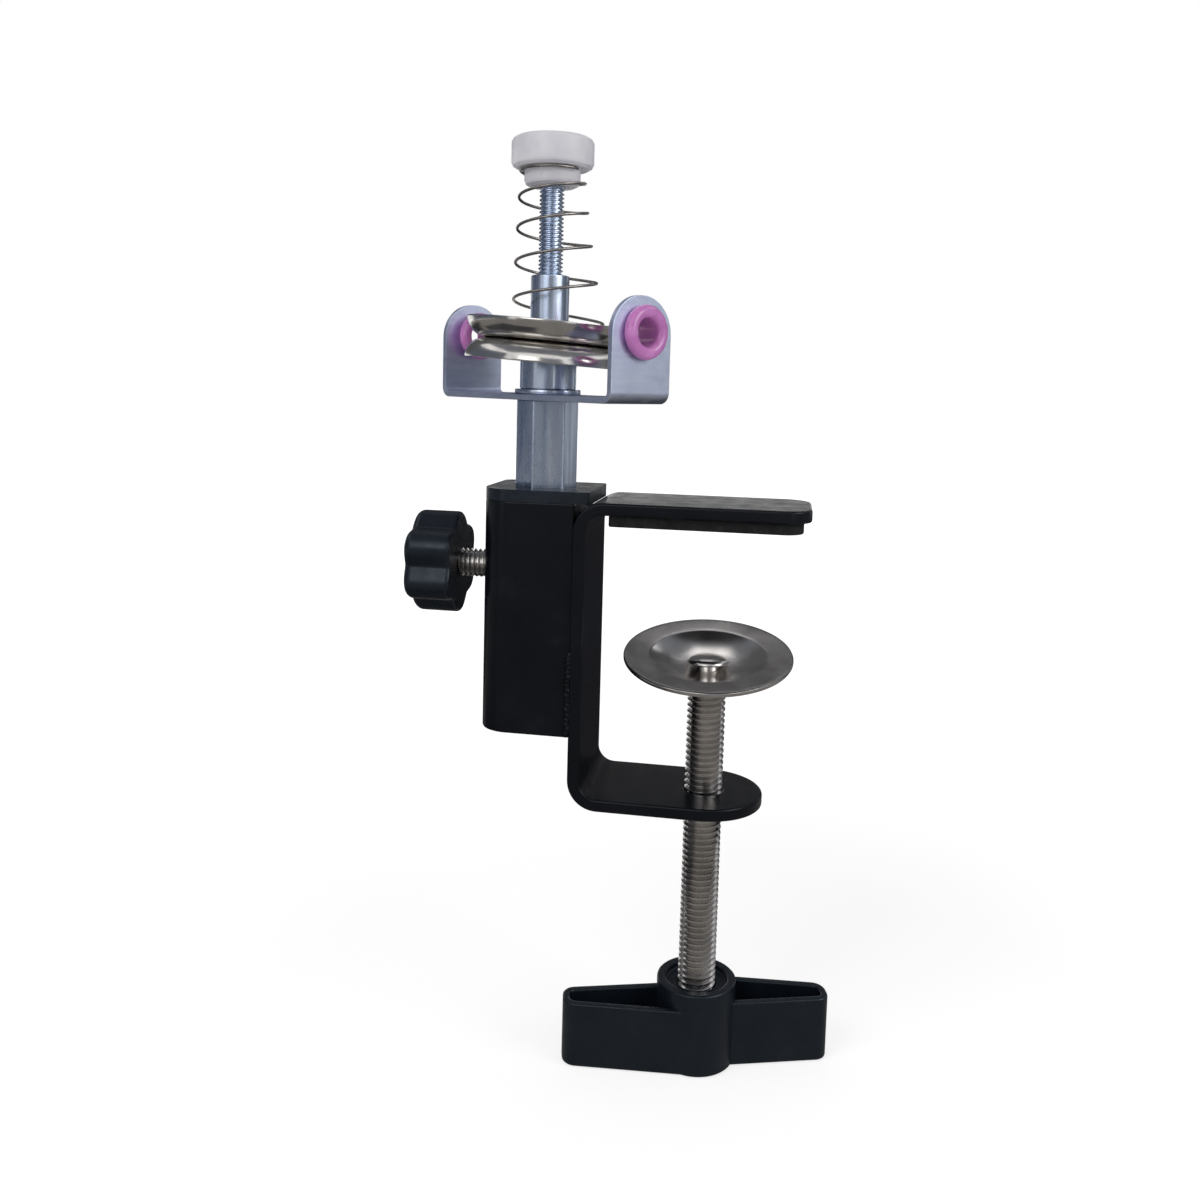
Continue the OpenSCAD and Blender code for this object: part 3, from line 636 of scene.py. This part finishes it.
# Thumb screw: a nickelled M6 screw through the back of the channel that locks the post's height.
# Its thread ends in a plain turned point.
thumb_radius = 2.95 * mm
thumb_pitch = 1 * mm
thumb_thread_depth = 0.55 * mm
thumb_point_radius = 1.5 * mm
thumb_point_length = 1.5 * mm
thumb_point_edge = 0.3 * mm
thumb_length = thumb_high.x - thumb_low.x

lock_screw = cut_thread("lock_screw", thumb_radius, thumb_thread_depth, thumb_pitch, 0.0,
                        thumb_length - thumb_point_length)
point = turn("point", [
    (thumb_point_radius, thumb_length - thumb_point_length - mm),
    (thumb_point_radius, thumb_length - thumb_point_edge),
    (thumb_point_radius - thumb_point_edge, thumb_length)], False, 48)
join_onto(lock_screw, point)
lock_screw.rotation_euler.y = math.radians(90)
lock_screw.location = (thumb_low.x, 0, thumb_z)
settle(lock_screw, "thumb_screw", "thumb_screw", nickel, 40)

# Thumb knob: a black plastic knob with six round lobes, moulded on the thumb screw's head.
# Its outer rim is well rounded and its outer face is sunk inside the lobes.
star_low, star_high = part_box("thumb_knob")
star_radius = 10.65 * mm
lobe_radius = 3.4 * mm
lobe_ring = star_radius - lobe_radius
star_waist = lobe_ring + 0.45 * lobe_radius
star_length = star_high.x - star_low.x
star_recess = 1.2 * mm
star_round = 1.9 * mm
star_edge = 0.25 * mm


def lobed_reach(angle):
    """How far the lobed outline reaches at an angle from the first lobe."""
    swell = 0.5 + 0.5 * math.cos(6 * angle)
    return star_waist + (star_radius - star_waist) * swell ** 0.75


deselect()
bpy.ops.mesh.primitive_circle_add(vertices=240, radius=star_radius, fill_type="NGON")
star_knob = edit_latest("star_knob")
outline = bmesh.from_edit_mesh(star_knob.data)
for vertex in outline.verts:
    reach = lobed_reach(math.atan2(vertex.co.y, vertex.co.x)) * (1 - star_round / star_radius)
    vertex.co = Vector((vertex.co.x, vertex.co.y, 0)).normalized() * reach
bmesh.update_edit_mesh(star_knob.data)
bpy.ops.mesh.select_all(action="SELECT")
star_profile = [(star_round * (1 - math.cos(math.radians(a))), star_round * (1 - math.sin(math.radians(a))))
                for a in (75, 60, 45, 30, 15, 0)]
star_profile += [(0, star_length - 0.8 * mm), (0.15 * mm, star_length - 0.3 * mm), (0.5 * mm, star_length)]
star_reach = star_radius - star_round
star_rise = 0.0
for inset, rise in star_profile:
    next_reach = star_radius - inset
    push(z=rise - star_rise)
    bpy.ops.transform.resize(value=(next_reach / star_reach, next_reach / star_reach, 1),
                             center_override=(0, 0, rise))
    star_reach = next_reach
    star_rise = rise
close_edit(star_knob)
drill(star_knob, lobe_ring, 2 * star_recess, (0, 0, 0), sides=96)
soften(star_knob, star_edge, 3, 50)
star_knob.rotation_euler.y = math.radians(90)
star_knob.location = (star_low.x, 0, thumb_z)
settle(star_knob, "thumb_knob", "thumb_knob", black_plastic)

# Post: a hexagonal zinc-plated steel bar that slides through the cap and is locked by the thumb screw.
# Its corners are a little round from drawing and both ends are chamfered.
zinc = new_finish("zinc", 0.26, 1.0)
zinc_streak = grain(zinc, (420, 420, 30), 5.0, 0.3)
tint(zinc, zinc_streak, [
    (0.28, (0.46, 0.54, 0.70)), (0.50, (0.62, 0.70, 0.84)), (0.70, (0.76, 0.82, 0.92))])
vary_roughness(zinc, grain(zinc, (700, 700, 60), 4.0), 0.18, 0.36)
emboss(zinc, grain(zinc, (1500, 1500, 90), 4.0), 0.02 * mm, 0.4)

post_edge = 0.3 * mm
hexagon_radius = post_across_flats / 2 / math.cos(math.radians(30))
deselect()
bpy.ops.mesh.primitive_cylinder_add(
    vertices=6, radius=hexagon_radius, depth=post_high.z - post_low.z,
    location=(post_x, 0, (post_low.z + post_high.z) / 2),
    rotation=(0, 0, post_turn + math.radians(90)))
hexagon_post = close_edit(edit_latest("hexagon_post"))
soften(hexagon_post, post_edge, 3)
settle(hexagon_post, "spindle", "hex_rod", zinc)

# Stud: a zinc-plated M5 stud screwed into the top of the post; it carries all the pieces above.
# Its fine thread runs its whole length and shows between the sleeve and the nut.
stud_low, stud_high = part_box("stud")
stud_radius = 2.5 * mm
stud_pitch = 0.8 * mm
stud_thread_depth = 0.45 * mm
stud_top = stud_high.z - 0.1 * mm
threaded_stud = cut_thread(
    "threaded_stud", stud_radius, stud_thread_depth, stud_pitch, stud_low.z, stud_top, 32)
threaded_stud.location.x = post_x
settle(threaded_stud, "spindle", "stud", zinc, 40)

# Sleeve, spacer collar and washer: turned zinc-plated pieces stacked on the stud above the bracket.
# The washer and the collar clamp the bracket down, and the two discs run on the sleeve.
bore_radius = 2.58 * mm
bore_edge = 0.15 * mm


def turned_tube(name, node, chamfer):
    """A turned tube around the stud, chamfered at both ends, as large as its node."""
    low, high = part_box(node)
    radius = (high.x - low.x) / 2
    tube = turn(name, [
        (bore_radius, low.z), (radius - chamfer, low.z), (radius - 0.3 * chamfer, low.z + 0.3 * chamfer),
        (radius, low.z + chamfer), (radius, high.z - chamfer),
        (radius - 0.3 * chamfer, high.z - 0.3 * chamfer), (radius - chamfer, high.z),
        (bore_radius + bore_edge, high.z), (bore_radius, high.z - bore_edge)], True)
    tube.location.x = post_x
    return settle(tube, "spindle", node, zinc)


turned_tube("turned_sleeve", "sleeve", 0.35 * mm)
turned_tube("turned_collar", "spacer_collar", 0.3 * mm)
turned_tube("flat_washer", "washer", 0.2 * mm)

# Guide bracket: a strip of satin zinc-plated sheet, bent up at both ends into two round-topped ears.
# It is clamped on the post by the collar and can be swung around the stud; each ear holds an eyelet.
bracket_low, bracket_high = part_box("guide_bracket")
bracket_length = 55 * mm
bracket_width = 15 * mm
bracket_sheet = 1.2 * mm
bracket_bend = 2.2 * mm
bracket_edge = 0.18 * mm
bracket_turn = math.radians(-38.7)
ear_corner = 7.2 * mm
eyelet_seat = 3.78 * mm
ear_height = bracket_high.z - bracket_low.z
eyelet_height = 13.3 * mm
ear_drill = 6 * mm
ear_x = bracket_length / 2 - bracket_sheet / 2
fold = ear_x + bracket_sheet / 2 - bracket_bend

bracket_zinc = new_finish("bracket zinc", 0.4, 1.0)
bracket_streak = grain(bracket_zinc, (240, 240, 900), 6.0, 0.4)
tint(bracket_zinc, bracket_streak, [
    (0.25, (0.61, 0.67, 0.85)), (0.50, (0.67, 0.73, 0.90)), (0.75, (0.73, 0.79, 0.94))])
vary_roughness(bracket_zinc, grain(bracket_zinc, (500, 500, 500), 5.0), 0.42, 0.56)
emboss(bracket_zinc, grain(bracket_zinc, (1300, 1300, 3200), 3.0), 0.02 * mm, 0.4)

deselect()
bpy.ops.mesh.primitive_plane_add(size=1, location=(-ear_x, 0, ear_height))
bpy.context.object.scale = (bracket_sheet, bracket_width, 1)
eared_strip = edit_latest("eared_strip")
push(z=bracket_bend - ear_height)
bend((-fold, 0, bracket_bend), (0, 1, 0), -90, 8)
push(x=2 * fold)
bend((fold, 0, bracket_bend), (0, 1, 0), -90, 8)
push(z=ear_height - bracket_bend)
pick_edges(eared_strip, lambda a, b: min(a.z, b.z) > ear_height - mm and abs(a.y - b.y) < mm)
bpy.ops.mesh.bevel(offset=ear_corner, segments=14, affect="EDGES")
close_edit(eared_strip)
for side in (-1, 1):
    drill(eared_strip, eyelet_seat, ear_drill, (side * ear_x, 0, eyelet_height), (0, math.radians(90), 0))
drill(eared_strip, bore_radius, ear_drill, (0, 0, 0))
soften(eared_strip, bracket_edge)
eared_strip.rotation_euler.z = bracket_turn
eared_strip.location = (post_x, 0, bracket_low.z)
settle(eared_strip, "guide_bracket", "guide_bracket", bracket_zinc)

# Eyelets: two glazed pink ceramic guides with thick round lips, snapped into the ears for the yarn.
# Each is one turned piece: a straight bore with two round lips that grip the ear between them.
eyelet_bore = 2.6 * mm
eyelet_neck = 3.7 * mm
lip_radius = 1.25 * mm
lip_middle = 1.225 * mm
eyelet_barrel = 1.6 * mm
eyelet_stand = 0.4 * mm

pink_ceramic = new_finish("pink ceramic", 0.2)
glaze = grain(pink_ceramic, (260, 260, 260), 4.0, 0.5)
tint(pink_ceramic, glaze, [
    (0.30, (0.40, 0.135, 0.375)), (0.52, (0.50, 0.175, 0.465)), (0.74, (0.575, 0.235, 0.53))])
vary_roughness(pink_ceramic, grain(pink_ceramic, (600, 600, 600), 3.0), 0.14, 0.3)
emboss(pink_ceramic, grain(pink_ceramic, (700, 700, 700), 2.0), 0.02 * mm, 0.3)
adjust(pink_ceramic, {
    "Coat Weight": 0.4, "Coat Roughness": 0.1, "Subsurface Weight": 0.08,
    "Subsurface Radius": (0.001, 0.0006, 0.001), "Subsurface Scale": 0.5})

neck_angle = math.degrees(math.acos((eyelet_neck - eyelet_bore - lip_radius) / lip_radius))
lip_rings = []
for step in range(19):
    around = math.radians(180 - step * (180 + neck_angle) / 18)
    lip_rings.append((eyelet_bore + lip_radius + lip_radius * math.cos(around),
                      lip_middle + lip_radius * math.sin(around)))
eyelet_rings = [(radius, height + eyelet_stand) for radius, height in lip_rings]
eyelet_rings += [(radius, -height - eyelet_barrel) for radius, height in reversed(lip_rings)]
for side, node in ((-1, "eyelet_left"), (1, "eyelet_right")):
    eyelet = turn("glazed_" + node, [(radius, side * height) for radius, height in eyelet_rings], True, 64)
    eyelet.matrix_world = (
        Matrix.Translation((post_x, 0, bracket_low.z + eyelet_height))
        @ Matrix.Rotation(bracket_turn, 4, "Z") @ Matrix.Translation((side * ear_x, 0, 0))
        @ Matrix.Rotation(math.radians(90), 4, "Y"))
    settle(eyelet, "guide_bracket", node, pink_ceramic, 60)

# Tension discs: two thin chromed saucers, back to back around the sleeve, that pinch the yarn between them.
# Each is pressed from sheet with a flat middle and a rim that curls away; both sit a little tilted.
lower_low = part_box("lower_disc")[0]
upper_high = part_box("upper_disc")[1]
disc_radius = 16.9 * mm
disc_depth = 4.1 * mm
disc_sheet = 0.6 * mm
disc_hole = 4.03 * mm
disc_face = 0.025 * mm
disc_edge = 0.12 * mm
disc_tilt = math.radians(4)

disc_chrome = new_finish("disc chrome", 0.07, 1.0)
chrome_cloud = grain(disc_chrome, (160, 160, 160), 5.0, 0.5)
tint(disc_chrome, chrome_cloud, [
    (0.30, (0.60, 0.575, 0.54)), (0.52, (0.69, 0.67, 0.645)), (0.74, (0.76, 0.745, 0.73))])
vary_roughness(disc_chrome, grain(disc_chrome, (500, 500, 500), 6.0), 0.14, 0.24)
emboss(disc_chrome, grain(disc_chrome, (240, 240, 240), 2.0), 0.02 * mm, 0.25)

disc_flat = disc_radius - disc_depth
disc_rings = [(disc_hole, 0.0), (disc_flat, 0.0)]
for step in range(1, 19):
    around = math.radians(5 * step)
    disc_rings.append((disc_flat + disc_depth * math.sin(around), disc_depth * (1 - math.cos(around))))
disc_curl = disc_depth - disc_sheet
for step in range(18, -1, -1):
    around = math.radians(5 * step)
    disc_rings.append((disc_flat + disc_curl * math.sin(around), disc_depth - disc_curl * math.cos(around)))
disc_rings.append((disc_hole, disc_sheet))
disc_plane = (lower_low.z + upper_high.z) / 2
for node, way in (("lower_disc", -1), ("upper_disc", 1)):
    saucer = turn("chromed_" + node, [(radius, way * (height + disc_face)) for radius, height in disc_rings],
                  True, 128)
    soften(saucer, disc_edge, 2, 60)
    saucer.rotation_euler.y = disc_tilt
    saucer.location = (post_x, 0, disc_plane)
    settle(saucer, node, node, disc_chrome)

# Tension spring: a loose conical spring of dark steel wire between the upper disc and the nut.
# Its end coils lie flat; the wide foot rests on the tilted disc, a little off the stud's middle.
wire_radius = 0.3 * mm
spring_turns = 5.75
spring_end_turns = 0.45
spring_foot_radius = 10 * mm
spring_top_radius = 6.4 * mm
spring_flare = 1.6
spring_lean = 2.4 * mm
spring_ease = 0.24
spring_tip = 0.05
spring_end_angle = -27
spring_play = 0.12 * mm
nut_low, nut_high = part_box("tension_nut")
nut_height = 6 * mm
nut_seat = nut_high.z - nut_height
spring_foot_z = disc_plane + (disc_sheet + disc_face + wire_radius) / math.cos(disc_tilt) + spring_play
spring_top_z = nut_seat - wire_radius - spring_play

spring_steel = new_finish("spring steel", 0.3, 1.0)
steel_cloud = grain(spring_steel, (300, 300, 300), 5.0)
tint(spring_steel, steel_cloud, [
    (0.30, (0.30, 0.28, 0.26)), (0.52, (0.42, 0.395, 0.37)), (0.74, (0.55, 0.52, 0.49))])
vary_roughness(spring_steel, grain(spring_steel, (900, 900, 900), 4.0), 0.24, 0.42)
emboss(spring_steel, grain(spring_steel, (2500, 2500, 2500), 3.0), 0.01 * mm, 0.4)

path = bpy.data.curves.new("coil_path", "CURVE")
path.dimensions = "3D"
path.bevel_depth = wire_radius
path.bevel_resolution = 4
path.use_fill_caps = True
coil = path.splines.new("POLY")
coil_steps = 560
coil.points.add(coil_steps)
flat_share = spring_end_turns / spring_turns
for step in range(coil_steps + 1):
    share = step / coil_steps
    around = math.radians(spring_end_angle + 360 * spring_turns * (share - 1))
    wide = spring_top_radius + (spring_foot_radius - spring_top_radius) * (1 - share) ** spring_flare
    active = min(1, max(0, (share - flat_share) / (1 - 2 * flat_share)))
    rise = active * (1 + spring_ease * (1 - active))
    x = wide * math.cos(around) + spring_lean * (1 - share) ** 2
    tip = spring_tip * 4 * share * (1 - share) - math.tan(disc_tilt) * (1 - share)
    z = spring_foot_z + (spring_top_z - spring_foot_z) * rise + x * tip
    coil.points[step].co = (post_x + x, wide * math.sin(around), z, 1)
coil_spring = bpy.data.objects.new("coil_spring", path)
bpy.context.scene.collection.objects.link(coil_spring)
activate(coil_spring)
bpy.ops.object.convert(target="MESH")
coil_spring = bpy.context.object
settle(coil_spring, "tension_spring", "tension_spring", spring_steel, 60)
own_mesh(coil_spring)

# Tension nut: a round nut of milky white nylon on the stud's thread that sets how hard the spring pushes.
# Its disc is chamfered on both faces, and a short hub below keeps the spring's top coil in the middle.
nut_radius = 8.3 * mm
nut_hub = 5.65 * mm
nut_chamfer = 1 * mm

white_nylon = new_finish("white nylon", 0.42)
nylon_cloud = grain(white_nylon, (130, 130, 130), 4.0, 0.4)
tint(white_nylon, nylon_cloud, [
    (0.30, (0.53, 0.52, 0.565)), (0.52, (0.60, 0.59, 0.63)), (0.74, (0.67, 0.665, 0.695))])
vary_roughness(white_nylon, grain(white_nylon, (450, 450, 450), 3.0), 0.34, 0.52)
emboss(white_nylon, grain(white_nylon, (1800, 1800, 300), 3.0), 0.015 * mm, 0.4)
adjust(white_nylon, {
    "Subsurface Weight": 0.25, "Subsurface Radius": (0.0016, 0.0015, 0.0017), "Subsurface Scale": 1.0})

round_nut = turn("round_nut", [
    (bore_radius, nut_low.z), (nut_hub - nut_chamfer, nut_low.z), (nut_hub - 0.3 * mm, nut_low.z + 0.35 * mm),
    (nut_hub, nut_low.z + nut_chamfer), (nut_hub, nut_seat), (nut_radius - nut_chamfer, nut_seat),
    (nut_radius - 0.3 * mm, nut_seat + 0.4 * mm), (nut_radius, nut_seat + nut_chamfer),
    (nut_radius, nut_high.z - nut_chamfer), (nut_radius - 0.3 * mm, nut_high.z - 0.4 * mm),
    (nut_radius - nut_chamfer, nut_high.z), (bore_radius + 0.4 * mm, nut_high.z),
    (bore_radius, nut_high.z - 0.4 * mm)], True, 128)
round_nut.location.x = post_x
settle(round_nut, "tension_nut", "tension_nut", white_nylon, 28)

# Stage: a wide pale floor under the knob, bright enough to melt into the white background.
# It keeps a faint shadow of the object near the knob and turns to pure white further out.
floor_size = 6
floor_gap = 0.2 * mm


def seen_rays(nodes, links):
    """A switch that is on for rays from the lens, off glossy pieces and through clear ones."""
    rays = nodes.new("ShaderNodeLightPath")
    seen = rays.outputs["Is Camera Ray"]
    for kind in ("Is Glossy Ray", "Is Transmission Ray"):
        either = nodes.new("ShaderNodeMath")
        either.operation = "MAXIMUM"
        links.new(seen, either.inputs[0])
        links.new(rays.outputs[kind], either.inputs[1])
        seen = either.outputs["Value"]
    return seen


deselect()
bpy.ops.mesh.primitive_plane_add(size=floor_size, location=(0, 0, cad_low.z - floor_gap))
floor = bpy.context.object
floor.name = "floor"
floor_paint = bpy.data.materials.new("floor paint")
floor_paint.use_nodes = True
floor_nodes = floor_paint.node_tree.nodes
floor_links = floor_paint.node_tree.links
adjust(floor_paint, {"Base Color": (0.9, 0.9, 0.9, 1), "Roughness": 0.9, "Specular IOR Level": 0.0})
floor_glow = floor_nodes.new("ShaderNodeEmission")
floor_mix = floor_nodes.new("ShaderNodeMixShader")
floor_share = floor_nodes.new("ShaderNodeMath")
floor_share.operation = "MULTIPLY"
floor_glow.inputs["Strength"].default_value = 1.19
floor_place = floor_nodes.new("ShaderNodeTexCoord")
floor_reach = floor_nodes.new("ShaderNodeVectorMath")
floor_reach.operation = "LENGTH"
floor_fade = floor_nodes.new("ShaderNodeMapRange")
floor_fade.inputs["From Min"].default_value = 0.1
floor_fade.inputs["From Max"].default_value = 0.5
floor_fade.inputs["To Min"].default_value = 0.6
floor_fade.inputs["To Max"].default_value = 1.0
floor_links.new(floor_place.outputs["Object"], floor_reach.inputs[0])
floor_links.new(floor_reach.outputs["Value"], floor_fade.inputs["Value"])
floor_links.new(floor_fade.outputs["Result"], floor_share.inputs[1])
floor_links.new(seen_rays(floor_nodes, floor_links), floor_share.inputs[0])
floor_links.new(floor_share.outputs["Value"], floor_mix.inputs["Fac"])
floor_links.new(floor_nodes["Principled BSDF"].outputs["BSDF"], floor_mix.inputs[1])
floor_links.new(floor_glow.outputs["Emission"], floor_mix.inputs[2])
floor_links.new(floor_mix.outputs["Shader"], floor_nodes["Material Output"].inputs["Surface"])
floor.data.materials.append(floor_paint)

# Studio light: an even white surround and two soft lamps, a large one high on the left and one on the right.
# Grey curtains with bright slits, mats and a ceiling around the object are seen only in glossy pieces.
world = bpy.data.worlds.new("studio")
bpy.context.scene.world = world
world.use_nodes = True
world_nodes = world.node_tree.nodes
world_links = world.node_tree.links
surround = world_nodes["Background"]
surround.inputs["Color"].default_value = (1, 1, 1, 1)
surround.inputs["Strength"].default_value = 0.5
backdrop = world_nodes.new("ShaderNodeBackground")
backdrop.inputs["Color"].default_value = (1, 1, 1, 1)
backdrop.inputs["Strength"].default_value = 1.0
world_mix = world_nodes.new("ShaderNodeMixShader")
world_links.new(seen_rays(world_nodes, world_links), world_mix.inputs["Fac"])
world_links.new(surround.outputs["Background"], world_mix.inputs[1])
world_links.new(backdrop.outputs["Background"], world_mix.inputs[2])
world_links.new(world_mix.outputs["Shader"], world_nodes["World Output"].inputs["Surface"])


def aim(thing, place, target):
    """Puts a lamp in place and turns it to face a target."""
    thing.location = place
    thing.rotation_mode = "QUATERNION"
    thing.rotation_quaternion = (Vector(target) - Vector(place)).to_track_quat("-Z", "Y")


def hang(screen, shade):
    """Gives a curtain or mat an even glow that only glossy pieces see."""
    cloth = bpy.data.materials.new(screen.name)
    cloth.use_nodes = True
    adjust(cloth, {
        "Base Color": (0, 0, 0, 1), "Specular IOR Level": 0.0,
        "Emission Color": (*shade, 1), "Emission Strength": 1.0})
    screen.data.materials.append(cloth)
    screen.visible_camera = False
    screen.visible_diffuse = False
    screen.visible_shadow = False


curtain_radius = 1.1
object_middle = (cad_low + cad_high) / 2
for name, place, size, power in (
        ("key lamp", (-0.45, -0.55, 0.65), 0.5, 3.4), ("side lamp", (0.6, -0.25, 0.3), 0.4, 1.6)):
    lamp = bpy.data.lights.new(name, "AREA")
    lamp.size = size
    lamp.energy = power
    light = bpy.data.objects.new(name, lamp)
    bpy.context.scene.collection.objects.link(light)
    aim(light, place, object_middle)
    light.visible_glossy = name != "key lamp"

for name, first, last, low, high, shade in (
        ("left curtain", -120, -48, -0.11, 0.75, (0.11, 0.125, 0.155)),
        ("left slit", -48, -36, -0.11, 0.75, (0.90, 0.90, 0.90)),
        ("middle curtain", -36, 34, -0.11, 0.11, (0.17, 0.18, 0.205)),
        ("upper left part", -36, -30, 0.11, 0.6, (0.18, 0.19, 0.21)),
        ("upper slit", -30, 0, 0.11, 0.6, (2.0, 2.0, 2.0)),
        ("upper right part", 0, 34, 0.11, 0.6, (0.18, 0.19, 0.21)),
        ("right slit", 34, 45, -0.11, 0.75, (1.0, 1.0, 1.0)),
        ("near right curtain", 45, 105, -0.11, 0.75, (0.18, 0.19, 0.21)),
        ("right curtain", 105, 128, -0.11, 0.75, (0.10, 0.107, 0.125)),
        ("far right curtain", 128, 150, -0.11, 0.75, (0.40, 0.41, 0.43)),
        ("back right curtain", 150, 168, -0.11, 1.1, (0.06, 0.06, 0.065)),
        ("back curtain", 168, 195, 0.13, 1.1, (0.10, 0.10, 0.105)),
        ("back left curtain", 195, 240, 0.13, 1.1, (0.10, 0.10, 0.105))):
    deselect()
    bpy.ops.mesh.primitive_cylinder_add(
        vertices=120, radius=curtain_radius, depth=high - low, end_fill_type="NOTHING",
        location=(0, 0, (low + high) / 2))
    curtain = edit_latest(name)
    pick_faces(curtain, lambda middle, normal: not (
        first <= (math.degrees(math.atan2(middle.x, -middle.y)) - first) % 360 + first <= last))
    bpy.ops.mesh.delete(type="FACE")
    bpy.ops.object.mode_set(mode="OBJECT")
    hang(curtain, shade)
for name, place, size, shade in (
        ("floor mat", (0, 0, cad_low.z - 0.1 * mm), 2.0, (0.21, 0.20, 0.19)),
        ("back mat", (0, 0.76, cad_low.z - 0.05 * mm), 1.2, (0.03, 0.03, 0.035)),
        ("left mat", (-0.19, -0.03, cad_low.z - 0.05 * mm), 0.24, (0.05, 0.05, 0.055)),
        ("ceiling lamp", (-0.1, 0.6, 1.15), 0.5, (1.3, 1.3, 1.3)),
        ("ceiling", (0, 0, 1.2), 2.2, (0.17, 0.18, 0.20))):
    deselect()
    bpy.ops.mesh.primitive_plane_add(size=size, location=place)
    screen = edit_latest(name)
    bpy.ops.object.mode_set(mode="OBJECT")
    hang(screen, shade)

# Camera: close in front of the jaws, turned a little to the left and down, as in the photograph.
# Its place, turns and focal length were fitted to the photograph's own corners and edges.
yaw = math.radians(9.62)
pitch = math.radians(5.62)
roll = math.radians(1.5)
stand = Vector((0.01404, -0.22013, 0.02815))
look = Vector((-math.sin(yaw) * math.cos(pitch), math.cos(yaw) * math.cos(pitch), -math.sin(pitch)))
level = Vector((math.cos(yaw), math.sin(yaw), 0))
over = level.cross(look)
across = level * math.cos(roll) + over * math.sin(roll)
upward = over * math.cos(roll) - level * math.sin(roll)
lens = bpy.data.cameras.new("camera")
lens.sensor_width = 36
lens.lens = 32.87
lens.shift_y = -0.0917
lens.clip_start = 0.01
camera = bpy.data.objects.new("camera", lens)
bpy.context.scene.collection.objects.link(camera)
camera.matrix_world = Matrix((
    (across.x, upward.x, -look.x, stand.x), (across.y, upward.y, -look.y, stand.y),
    (across.z, upward.z, -look.z, stand.z), (0, 0, 0, 1)))
bpy.context.scene.camera = camera
bpy.context.scene.view_settings.view_transform = "Standard"

deselect()
